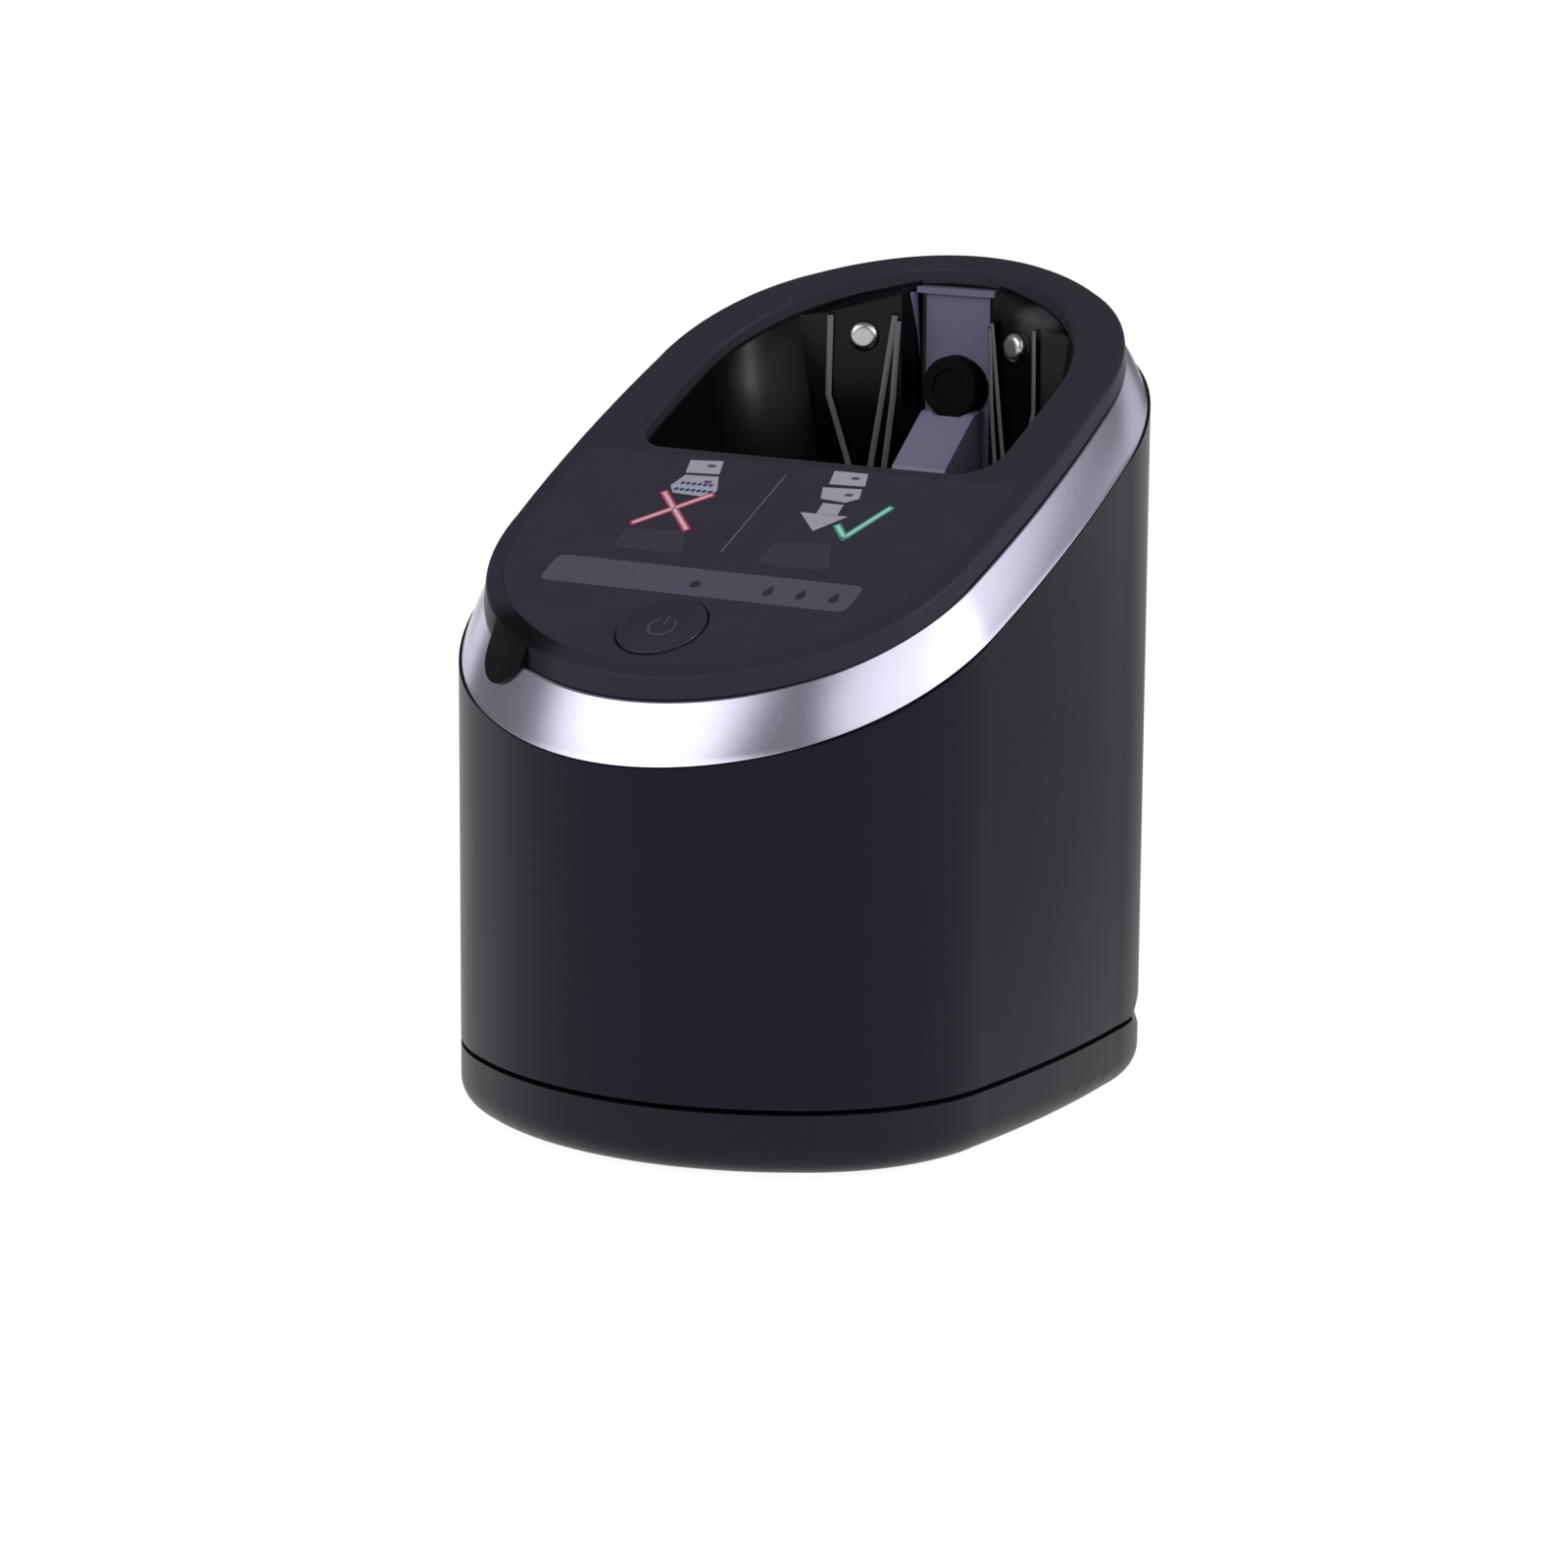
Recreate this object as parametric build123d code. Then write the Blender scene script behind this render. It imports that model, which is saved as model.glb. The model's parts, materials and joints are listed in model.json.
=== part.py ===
# Charging and cleaning stand for a shaver: an upright oval housing with a slanted deck and an open
# well, standing on a low base. Millimetres, +Z up, front towards -Y. The origin is at the middle of
# the footprint, on the surface that the stand rests on.
import math
import os

from build123d import *

# Oval plan outline, made of side, end and corner arcs
half_width = 56.0
half_depth = 70.0
side_radius = 290.0
end_radius = 64.0
corner_radius = 46.0
wall = 2.5

# Heights
foot_drop = 0.8
base_top = 12.8
seam_gap = 1.0
floor_thickness = 2.5
base_edge_radius = 5.5

# Finger notches across the seam at both rear corners
notch_turn = 31.0
notch_depth = 1.9
notch_rise = 3.6

# Feet and base screws
foot_radius = 6.0
foot_height = 2.0
foot_rounding = 0.4
foot_inset = 17.0
foot_angle = 40.0
base_screw_inset = 9.0
base_screw_angle = 55.0
post_radius = 3.6
post_split = 6.0
pilot_radius = 1.2
base_deck_thickness = 2.2

# Slanted planes: their heights over the middle of the footprint, and their common slope
tilt = 26.45
collar_low = 110.5
collar_rise = 8.9
deck_rise = 13.2
collar_inset = 4.3
deck_inset = 5.2
shadow_line = 0.3
spigot_length = 5.0
ledge_width = 5.0
ledge_thickness = 2.5
skirt_thickness = 2.2
cap_thickness = 2.8
edge_rounding = 0.9

# Well for the shaver: what is left beside and behind it, and its own sizes
well_side_margin = 16.8
well_back_margin = 10.2
well_length = 60.5
well_half_depth = 35.1
well_corner = 7.5
well_rim_rounding = 1.2
well_floor = 74.0
basin_wall = 2.0
basin_flange = 0.7
basin_flange_height = 1.8
basin_rounding = 5.0
gasket_thickness = 0.8

# Control panel, display strip and start button, placed on the deck: across, and up the slope
panel_thickness = 1.2
panel_margin = 3.2
panel_setback = 2.9
panel_gap = 0.08
window_width = 66.5
window_height = 8.3
window_step = 14.2
main_lamp = -0.5
lamp_pitch = 7.0
lamp_end = 4.25
button_setback = 12.5
button_radius = 8.6
button_gap = 0.35
button_proud = 0.5
button_dish = 0.6
button_travel = 0.8
button_wall = 1.6
button_stem = 2.2
flange_width = 1.1

# Thumb tab at the front left of the rim
tab_across = -29.5
tab_width = 12.6
tab_drop = 5.4
tab_proud = 0.9
tab_length = 9.0

# Control board under the deck
board_depth = 9.0
board_thickness = 1.6
board_half_width = 27.0
board_overhang = 3.5
board_setback = 14.3
board_corner = 5.0
board_hole_inset = 4.0
board_boss_radius = 2.8
guide_bar_thickness = 1.2
guide_leg = (3.0, 2.4)
led_size = (3.0, 1.8, 1.2)
switch_size = 6.2
switch_height = 3.4
switch_floor = 0.8
plunger_rise = 1.0
plunger_radius = 1.6
fit_gap = 0.1
running_gap = 0.05

# Contact cradle at the back of the well, placed by its distance from the well's back
cradle_floor = 3.0
cheek_across = 17.2
cheek_clearance = 0.285
cheek_turn = 22.0
cheek_width = 15.0
cheek_low = 98.0
cheek_top = 148.5
crown_across = 9.0
crown_slope = 7.5
crown_lean = 20.0
crown_rise = 5.0
wing_run = 7.6
wing_drop = 0.4
wing_reach = 12.0
rib_width = 1.0
rib_proud = 1.1
rib_drops = (4.6, 4.4, 5.5)
outer_rib_across = (6.6, 6.9, 1.8)
inner_rib_across = (-6.3, -3.9, -1.2)
edge_rib_across = (-7.0, -6.1, -4.1)
rib_kink_z = 128.0
rib_foot_z = 111.0
contact_z = 139.8
contact_radius = 3.0
contact_proud = 1.5
contact_bore_depth = 5.4
contact_stub_radius = 1.3
contact_stub_length = 1.4
contact_spring_radius = 2.2
contact_spring_wire = 0.5
contact_spring_turns = 4
spine_half_width = 7.2
spine_depth = 2.4
spine_wall = 1.8
ledge_z = 149.0
ledge_height = 0.6
ledge_proud = 1.2
ledge_half_width = 8.8
ramp_top_z = 125.2
ramp_bottom_z = 115.8
ramp_half_width = 6.0
ramp_step = 3.8
ramp_run = 11.2
ramp_foot = 2.8
ramp_foot_drop = 5.0
boss_radius = 6.2
boss_wall = 2.4
boss_socket_depth = 0.5
boss_z = 130.2
boss_reach = 3.4

# Guide rods, their sleeves and springs
rod_radius = 3.0
rod_margin = 8.7
rod_top = 102.0
sleeve_wall = 2.0
sleeve_low = 44.0
sleeve_high = 62.5
spring_wire = 1.0
spring_gap = 0.3
spring_turns = 9

# Chassis that closes the housing from below
chassis_z = 58.5
chassis_thickness = 2.5
screw_boss_radius = 4.2
screw_boss_inset = 3.0
screw_boss_angle = 37.0
screw_boss_top = 75.0
pilot_cap = 3.0
screw_radius = 1.5
screw_head_radius = 2.8
screw_head_height = 1.8
screw_slot = (3.2, 0.8)
screw_bite = 4.0
housing_screw_length = 12.0
stop_rib_y = 15.0
stop_rib_depth = 2.0

# Cleaning cartridge: what is left beside and in front of it, and its own sizes
cartridge_side_margin = 18.0
cartridge_front_margin = 24.0
cartridge_hook_room = 7.5
cartridge_height = 42.0
cartridge_wall = 1.6
cartridge_corner = 14.0
cartridge_rounding = 1.2
lid_thickness = 2.0
lid_plug = 3.0
lid_rounding = 0.8
seal_width = 1.6
seal_grip = 0.3
filter_size = 26.0
filter_height = 8.0
filter_corner = 3.0
pleat_pitch = 4.6
pleat_width = 1.6
pleat_depth = 2.5
pleat_count = 5
rail_front_setback = 22.0
rail_back_setback = 10.0
rail_gap = 0.4
rail_thickness = 1.6
rail_height = 5.0

# Pump, its pipes and the drain
pump_x = -20.0
pump_setback = 25.3
pump_radius = 14.0
pump_wall = 1.6
pump_height = 9.0
cover_thickness = 2.0
impeller_radius = 10.4
impeller_gap = 1.4
impeller_disc = 1.2
impeller_height = 4.5
hub_radius = 3.4
blade_thickness = 1.2
blade_count = 6
blade_gap = 0.4
shaft_radius = 1.5
shaft_low_gap = 4.0
shaft_depth = 9.0
motor_radius = 12.0
motor_height = 17.0
motor_rounding = 1.5
motor_tail_radius = 4.0
motor_tail_height = 1.2
suction_radius = 3.0
suction_bore = 2.0
suction_low = 20.0
hose_radius = 2.6
hose_bore = 1.7
hose_z = 66.0
hose_bend = 9.0
hose_run = 10.0
hose_end_gap = 0.3
barb_wall = 0.6
barb_length = 5.0
nozzle_setback = 23.8
nozzle_radius = 4.0
nozzle_bore = 1.4
nozzle_foot = 1.4
nozzle_rise = 6.0
drain_x = 14.0
drain_setback = 12.7
drain_radius = 4.0
drain_wall = 1.2

# Power board beside the pump
power_board_x = 21.0
power_board_z = 66.0
power_board_size = (30.0, 34.0)
power_board_corner = 2.0
power_post_radius = 2.8
power_post_steps = (11.0, 12.0)
capacitor_place = (7.0, 10.0)
capacitor_radius = 5.0
capacitor_height = 12.0
inductor_place = (-6.0, 8.0)
inductor_size = (12.0, 12.0, 7.0)
inductor_corner = 2.0
connector_place = (7.0, -11.0)
connector_size = (10.0, 6.0, 6.0)
regulator_place = (-6.5, -7.5)
regulator_size = (7.0, 9.0, 2.0)

# Rear: power inlet and release latch
socket_z = 43.0
socket_width = 21.0
socket_height = 13.0
socket_depth = 17.0
socket_wall = 1.6
socket_cavity_depth = 12.5
socket_pin_radius = 1.2
socket_pin_spacing = 6.6
socket_pin_length = 7.0
socket_pin_tail = 2.5
socket_corner = 3.5
socket_recess = 0.4
socket_step = 0.8
shelf_half_width = 8.0
shelf_thickness = 3.0
release_z = 24.0
release_width = 18.0
release_height = 12.0
release_recess = 0.5
release_flange = 1.6
release_stop_gap = 0.1
rear_wall_bulge = 2.5
release_neck_step = 1.0
release_spring_radius = 4.6
release_spring_wire = 0.6
release_spring_turns = 2
hook_half_width = 9.0
hook_height = 4.0
hook_thickness = 2.2
arm_half_width = 3.0
catch_setback = 22.5
catch_lip = 2.5
catch_lip_height = 2.8
catch_thickness = 3.0
catch_foot = 2.0
catch_slot_gap = 1.5
catch_gap = 0.3
catch_clearance = 0.4
guide_setback = 10.2
guide_thickness = 3.0
guide_margin = 2.0

# Planes and places worked out from the sizes above
slope = math.tan(math.radians(tilt))
upright = math.cos(math.radians(tilt))
collar_high = collar_low + collar_rise
deck_height = collar_low + deck_rise
housing_low = base_top + seam_gap
base_deck_low = base_top - base_deck_thickness
floor_top = foot_drop + floor_thickness
chassis_top = chassis_z + chassis_thickness
reach = 6 * half_depth
well_half_width = half_width - well_side_margin
well_back = half_depth - well_back_margin
well_centre_y = well_back - well_half_depth
well_front_y = well_back - well_length
panel_top = well_front_y - panel_setback
button_place = button_setback - half_depth
window_place = button_place + window_step
last_lamp = window_width / 2 - lamp_end
light_places = (main_lamp, last_lamp - 2 * lamp_pitch, last_lamp - lamp_pitch, last_lamp)
board_low = button_place - board_overhang
board_high = well_front_y - board_setback
cradle_inner = ledge_half_width + 0.2
cheek_lean = math.radians(cheek_turn)
bore_end_x = cheek_across + contact_bore_depth * math.sin(cheek_lean)
wall_behind_bore = well_half_depth * math.sqrt(1 - (bore_end_x / well_half_width) ** 2)
bore_run = contact_bore_depth * math.cos(cheek_lean)
cheek_y = well_centre_y + wall_behind_bore - bore_run - cheek_clearance
spine_face_y = well_back - spine_depth
boss_face_y = spine_face_y - boss_reach
ramp_top = (spine_face_y - ramp_step, ramp_top_z)
ramp_bottom = (ramp_top[0] - ramp_run, ramp_bottom_z)
ramp_foot_y = ramp_bottom[0] - ramp_foot
rod_across = half_width - rod_margin
catch_front = half_depth - catch_setback
guide_back = half_depth - guide_setback
rear_relief = wall + rear_wall_bulge + release_stop_gap
flange_front = half_depth - rear_relief - release_flange
cartridge_half_width = half_width - cartridge_side_margin
cartridge_front = cartridge_front_margin - half_depth
cartridge_back = catch_front - cartridge_hook_room
cartridge_top = base_top + cartridge_height
pump_y = well_front_y - pump_setback
pump_low = chassis_top
pump_top = pump_low + pump_height
cover_top = pump_top + cover_thickness
nozzle_y = well_back - nozzle_setback
nozzle_low = hose_z - hose_radius - nozzle_foot
drain_y = well_front_y + drain_setback
deck = Plane(
    origin=(0, 0, deck_height),
    x_dir=(1, 0, 0),
    z_dir=(0, -math.sin(math.radians(tilt)), upright),
).location


def corner_centre():
    """Centre of a corner arc that runs smoothly into a side arc and an end arc."""
    side_x = half_width - side_radius
    end_y = half_depth - end_radius
    from_end = end_radius - corner_radius
    from_side = side_radius - corner_radius
    gap = math.hypot(side_x, end_y)
    along = (from_end**2 - from_side**2 + gap**2) / (2 * gap)
    across = math.sqrt(from_end**2 - along**2)
    step_x, step_y = side_x / gap, -end_y / gap
    return along * step_x - across * step_y, end_y + along * step_y - across * step_x


def towards(start, end, length):
    """Point at a length from start in the direction of end."""
    run = math.hypot(end[0] - start[0], end[1] - start[1])
    return (
        start[0] + (end[0] - start[0]) * length / run,
        start[1] + (end[1] - start[1]) * length / run,
    )


def oval(inset):
    """Plan outline of the stand, drawn in by an inset."""
    centre = corner_centre()
    side_centre = (half_width - side_radius, 0)
    end_centre = (0, half_depth - end_radius)
    round_corner = corner_radius - inset
    low = towards(side_centre, centre, side_radius - inset)
    high = towards(end_centre, centre, end_radius - inset)
    middle = towards(centre, (2 * high[0] + low[0] - centre[0], high[1] + low[1]), round_corner)
    side = ThreePointArc((low[0], -low[1]), (half_width - inset, 0), low)
    corner = ThreePointArc(low, middle, high)
    end = ThreePointArc(high, (0, half_depth - inset), (-high[0], high[1]))
    other = mirror(corner, Plane.YZ)
    half = [side, corner, end, other]
    rest = [mirror(side, Plane.YZ), mirror(corner, Plane.XZ), mirror(end, Plane.XZ)]
    rest.append(mirror(other, Plane.XZ))
    return make_face(half + rest)


def column(inset, low, high):
    """Upright solid of the plan outline between two heights."""
    return Pos(0, 0, low) * extrude(oval(inset), high - low)


def tube(outer, inner, low, high):
    """Upright ring between two insets of the plan outline."""
    return column(outer, low, high) - column(inner, low - 1, high + 1)


def below(height):
    """Everything under the slanted plane that has this height over the middle."""
    block = Box(reach, reach, reach, align=(Align.CENTER, Align.CENTER, Align.MAX))
    return Pos(0, 0, height) * Rot(X=tilt) * block


def above(height):
    """Everything over the slanted plane that has this height over the middle."""
    block = Box(reach, reach, reach, align=(Align.CENTER, Align.CENTER, Align.MIN))
    return Pos(0, 0, height) * Rot(X=tilt) * block


def top_face(solid):
    """The largest flat face that looks up, level or slanted."""
    flat = solid.faces().filter_by(GeomType.PLANE)
    return flat.filter_by(lambda face: face.normal_at().Z > 0.5).sort_by(SortBy.AREA)[-1]


def slanted_face(inset, height):
    """Slanted section of the outline's upright column."""
    return top_face(column(inset, 0, reach / 2) & below(height))


def slanted_skin(inset_low, low, inset_high, high):
    """Solid between two slanted sections whose sides lean from one to the other."""
    return loft([slanted_face(inset_low, low), slanted_face(inset_high, high)], ruled=True)


def slanted_ring(outer, inner, low, high):
    """Upright ring between two insets, cut off by two slanted planes."""
    return tube(outer, inner, 0, reach / 2) & below(high) & above(low)


def well_plan(grow):
    """Plan of the well: straight at the front and an ellipse at the back."""
    half = well_half_width + grow
    rear = Pos(0, well_centre_y + half_depth - 0.1) * Rectangle(4 * half, 2 * half_depth)
    back = Pos(0, well_centre_y) * Ellipse(half, well_half_depth + grow) & rear
    length = well_centre_y - well_front_y + grow
    front = Pos(0, well_centre_y - length / 2) * Rectangle(2 * half, length)
    corners = front.vertices().group_by(Axis.Y)[0]
    return back + fillet(corners, max(well_corner + grow, 1.0))


def well_column(grow, low, high):
    """Upright solid of the well's plan between two heights."""
    return Pos(0, 0, low) * extrude(well_plan(grow), high - low)


def rod(x, y, radius, low, high):
    """Upright round bar between two heights."""
    return Pos(x, y, (low + high) / 2) * Cylinder(radius, high - low)


def pipe(x, y, radius, bore, low, high):
    """Upright tube between two heights."""
    return rod(x, y, radius, low, high) - rod(x, y, bore, low - 1, high + 1)


def block(x_span, y_span, z_span):
    """Box between the two ends given on each axis."""
    spans = (x_span, y_span, z_span)
    sizes = [high - low for low, high in spans]
    middle = [(high + low) / 2 for low, high in spans]
    return Pos(*middle) * Box(*sizes)


def coil(radius, wire, length, turns):
    """Coil spring that stands on its end at the origin."""
    pitch = (length - 2 * wire) / turns
    path = Helix(pitch, length - 2 * wire, radius)
    start = Plane(path @ 0, z_dir=path % 0)
    return Pos(0, 0, wire) * sweep(start * Circle(wire), path)


def pan_screw(length):
    """Pan-head screw with its tip up and its head's top at the origin."""
    head = Pos(0, 0, screw_head_height / 2) * Cylinder(screw_head_radius, screw_head_height)
    head = fillet(head.edges().sort_by(Axis.Z)[0], screw_head_height / 3)
    slot = Pos(0, 0, screw_head_height / 4) * Box(*screw_slot, screw_head_height / 2)
    cross = slot + Rot(Z=90) * slot
    return head - cross + rod(0, 0, screw_radius, screw_head_height, length)


def group(pieces):
    """Separate solids kept together under one name."""
    return Compound(children=pieces)


# Places that come in fours and twos
def corner_places(distance, angle):
    """Four places round the corners, a distance in from the outer wall."""
    centre = corner_centre()
    radius = corner_radius - distance
    x = centre[0] + radius * math.cos(math.radians(angle))
    y = centre[1] + radius * math.sin(math.radians(angle))
    return [(sx * x, sy * y) for sx in (1, -1) for sy in (1, -1)]


foot_places = corner_places(foot_inset, foot_angle)
base_screw_places = corner_places(base_screw_inset, base_screw_angle)
housing_screw_places = corner_places(wall + screw_boss_inset, screw_boss_angle)
rod_places = [(side * rod_across, 0) for side in (-1, 1)]
cheek_signs = {"left": -1, "right": 1}


# Base: shell, deck, feet and what stands on it
def base_shell():
    shell = column(0, foot_drop, base_top)
    shell = fillet(shell.faces().sort_by(Axis.Z)[0].edges(), base_edge_radius) - finger_notches()
    shell = shell - column(wall, floor_top, base_top + 1)
    for x, y in foot_places:
        shell = shell - rod(x, y, foot_radius + fit_gap, 0, foot_height)
    for x, y in base_screw_places:
        shell = shell + rod(x, y, post_radius, floor_top - 0.5, post_split)
        shell = shell - rod(x, y, screw_head_radius + fit_gap, 0, foot_drop + screw_head_height)
        shell = shell - rod(x, y, screw_radius + fit_gap, 0, base_top)
    for x, y in rod_places:
        shell = shell + rod(x, y, rod_radius + sleeve_wall, floor_top - 0.5, base_deck_low)
        shell = shell - rod(x, y, rod_radius, floor_top, base_top)
    return shell


def base_deck():
    plate = column(wall + fit_gap, base_deck_low, base_top)
    for x, y in base_screw_places:
        plate = plate + rod(x, y, post_radius, post_split, base_deck_low + 0.5)
        plate = plate - rod(x, y, pilot_radius, post_split - 1, base_top - 1)
    for x, y in rod_places:
        plate = plate - rod(x, y, rod_radius + fit_gap, 0, base_top + 1)
    rails = tray_rail(-1) + tray_rail(1)
    return plate + rails


def tray_rail(side):
    """Low rail beside the cartridge."""
    inner = cartridge_half_width + rail_gap
    across = sorted((side * inner, side * (inner + rail_thickness)))
    along = (cartridge_front + rail_front_setback, cartridge_back - rail_back_setback)
    return block(across, along, (base_top - 0.5, base_top + rail_height))


def base_screws():
    length = base_top - base_deck_thickness + 0.2 - foot_drop
    return group([Pos(x, y, foot_drop) * pan_screw_pilot(length) for x, y in base_screw_places])


def pan_screw_pilot(length):
    """Screw whose thread narrows to the pilot hole that it is driven into."""
    neck = post_split - foot_drop
    shank = rod(0, 0, screw_radius, screw_head_height - 0.5, neck)
    return pan_screw(screw_head_height + 0.5) + shank + rod(0, 0, pilot_radius, neck - 0.5, length)


def rubber_feet():
    foot = Pos(0, 0, foot_height / 2) * Cylinder(foot_radius, foot_height)
    foot = fillet(foot.edges().sort_by(Axis.Z)[0], foot_rounding)
    return group([Pos(x, y, 0) * foot for x, y in foot_places])


def guide_rods():
    bar = rod(0, 0, rod_radius, floor_top, rod_top)
    bar = chamfer(bar.edges().sort_by(Axis.Z)[-1], rod_radius / 5)
    return group([Pos(x, y, 0) * bar for x, y in rod_places])


def lift_springs():
    low = base_top + fit_gap
    length = sleeve_low - fit_gap - low
    spring = coil(rod_radius + spring_gap + spring_wire / 2, spring_wire / 2, length, spring_turns)
    return group([Pos(x, y, low) * spring for x, y in rod_places])


def latch_catch():
    """Fork with two lipped prongs that the release hook passes between and holds."""
    back = catch_front + catch_lip
    lip_low = release_z + hook_height / 2 + catch_clearance
    lip_high = lip_low + catch_lip_height
    across = (arm_half_width + catch_slot_gap, hook_half_width)
    prong = block(across, (back, back + catch_thickness), (base_top, lip_high))
    lip = block(across, (catch_front, back + 0.5), (lip_low, lip_high))
    pad = block(
        (-hook_half_width, hook_half_width),
        (back - catch_foot, back + catch_thickness + catch_foot),
        (base_top, base_top + catch_foot),
    )
    hook = prong + lip
    return pad + hook + mirror(hook, Plane.YZ)


# Cleaning cartridge, which stands on the base deck inside the housing
def cartridge_column(grow, low, high):
    width = 2 * (cartridge_half_width + grow)
    length = cartridge_back - cartridge_front + 2 * grow
    middle = (cartridge_back + cartridge_front) / 2
    plan = RectangleRounded(width, length, cartridge_corner + grow)
    return Pos(0, middle, low) * extrude(plan, high - low)


def cartridge_tank():
    tank = cartridge_column(0, base_top, cartridge_top)
    tank = fillet(tank.faces().sort_by(Axis.Z)[0].edges(), cartridge_rounding)
    return tank - cartridge_column(-cartridge_wall, base_top + cartridge_wall, cartridge_top + 1)


def cartridge_lid():
    lid = cartridge_column(0, cartridge_top, cartridge_top + lid_thickness)
    lid = fillet(lid.faces().sort_by(Axis.Z)[-1].edges(), lid_rounding)
    plug_low = cartridge_top - lid_plug
    plug = cartridge_column(-cartridge_wall - fit_gap, plug_low, cartridge_top + 0.5)
    plug = plug - cartridge_column(-2 * cartridge_wall - fit_gap, plug_low - 1, cartridge_top)
    lid = lid + plug
    for x, y, radius in port_places():
        lid = lid - rod(x, y, radius, plug_low - 1, cartridge_top + lid_thickness + 1)
    return lid


def port_places():
    """Places and radii of the two holes in the cartridge's lid."""
    drain_outer = drain_radius + running_gap + drain_wall
    return [
        (pump_x, pump_y, suction_radius + seal_width),
        (drain_x, drain_y, drain_outer + seal_width),
    ]


def port_seals():
    rings = []
    for x, y, radius in port_places():
        bore = radius - seal_width + seal_grip
        rings.append(pipe(x, y, radius, bore, cartridge_top, cartridge_top + lid_thickness))
    return group(rings)


def cartridge_filter():
    low = base_top + cartridge_wall
    pad = Pos(drain_x, drain_y, low + filter_height / 2) * Box(filter_size, filter_size, filter_height)
    pad = fillet(pad.edges().filter_by(Axis.Z), filter_corner)
    pleat = Box(pleat_width, filter_size + 1, 2 * pleat_depth)
    for step in range(pleat_count):
        across = drain_x + (step - (pleat_count - 1) / 2) * pleat_pitch
        pad = pad - Pos(across, drain_y, low + filter_height) * pleat
    return pad


# Housing: shell, collar and cap
def housing_shell():
    top = collar_low - shadow_line
    shell = tube(0, wall, housing_low, reach / 2) & below(top)
    ledge_high = collar_low - spigot_length
    ledge = slanted_ring(wall - 0.5, wall + ledge_width, ledge_high - ledge_thickness, ledge_high)
    shell = shell + ledge
    for x, y in housing_screw_places:
        shell = shell + rod(x, y, screw_boss_radius, chassis_top, screw_boss_top)
        shell = shell - rod(x, y, pilot_radius, chassis_top - 1, screw_boss_top - pilot_cap)
    shell = shell + stop_ribs() + release_guide()
    return shell - rear_openings() - finger_notches()


def finger_notches():
    """Bars of V section that open the seam at both rear corners, where fingers lift the housing."""
    centre = corner_centre()
    root = corner_radius - notch_depth
    mouth_rise = 2 * notch_rise
    section = [(root, 0), (root + 2 * notch_depth, mouth_rise), (root + 2 * notch_depth, -mouth_rise)]
    bar = extrude(Plane.XZ * make_face(Polyline(*section, close=True)), corner_radius, both=True)
    notch = Pos(centre[0], centre[1], base_top + seam_gap / 2) * Rot(Z=notch_turn) * bar
    return notch + mirror(notch, Plane.YZ)


def stop_ribs():
    """Ribs inside the skirt that stand on the base deck when the housing is down."""
    ribs = []
    inner = half_width - wall
    for side in (-1, 1):
        for y in (-stop_rib_y, stop_rib_y):
            ends = sorted((side * (inner - stop_rib_depth), side * (inner + 0.6)))
            upper = block(ends, (y - 1, y + 1), (housing_low + fit_gap, chassis_z - 2))
            lower = block(ends, (y - 1, y + 1), (base_top, housing_low + 0.6))
            ribs.append(upper & column(wall - 0.6, 0, chassis_z))
            ribs.append(lower & column(wall + fit_gap, 0, chassis_z))
    return sum_up(ribs)


def sum_up(pieces):
    """One solid made of pieces that meet."""
    whole = pieces[0]
    for piece in pieces[1:]:
        whole = whole + piece
    return whole


def release_guide():
    """Bridge inside the rear wall that the release button's arm slides through."""
    half = release_width / 2 + 2 * guide_margin
    low = release_z - release_height / 2 - guide_margin
    high = release_z + release_height / 2 + guide_margin
    bridge = block((-half, half), (guide_back - guide_thickness, guide_back), (low, high))
    for side in (-1, 1):
        ends = sorted((side * (half - guide_margin), side * half))
        bridge = bridge + block(ends, (guide_back - 1, half_depth), (low, high))
    window = block(
        (-arm_half_width - fit_gap, arm_half_width + fit_gap),
        (guide_back - 2 * guide_thickness, guide_back + 1),
        (release_z - hook_height / 2 - fit_gap, release_z + hook_height / 2 + fit_gap),
    )
    return (bridge & column(wall - 0.6, 0, collar_low)) - window


def rear_openings():
    """Holes in the rear wall for the release button and the power inlet."""
    deep = (half_depth - rear_relief + release_stop_gap, half_depth + 5)
    button = block(
        (-release_width / 2 - button_gap, release_width / 2 + button_gap),
        deep,
        (release_z - release_height / 2 - button_gap, release_z + release_height / 2 + button_gap),
    )
    inlet = block(
        (-socket_width / 2, socket_width / 2),
        deep,
        (socket_z - socket_height / 2, socket_z + socket_height / 2),
    )
    return button + inlet


def front_edge(across, inset):
    """Where the outline's front lies at a distance across, and which way it faces there."""
    corner = corner_centre()
    end = (0, half_depth - end_radius)
    joint = towards(end, corner, end_radius - inset)
    on_end = abs(across) < joint[0]
    middle = end if on_end else corner
    radius = (end_radius if on_end else corner_radius) - inset
    run = abs(across) - middle[0]
    drop = math.sqrt(radius**2 - run**2)
    turn = math.degrees(math.atan2(run, drop))
    return -middle[1] - drop, math.copysign(turn, across)


def tab_prism(grow):
    """Upright tongue shape with a round end, pushed out through the rim at the front left."""
    edge_y, turn = front_edge(tab_across, deck_inset)
    high = deck_height + edge_y * slope
    half = tab_width / 2 + grow
    low = high - (deck_rise - collar_rise) - tab_drop - grow + half
    top = high + tab_length
    shape = Pos(0, (low + top) / 2) * Rectangle(2 * half, top - low)
    shape = shape + Pos(0, low) * Circle(half)
    prism = extrude(Plane.XZ * shape, tab_length, both=True)
    return Pos(tab_across, edge_y, 0) * Rot(Z=turn) * prism


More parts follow.
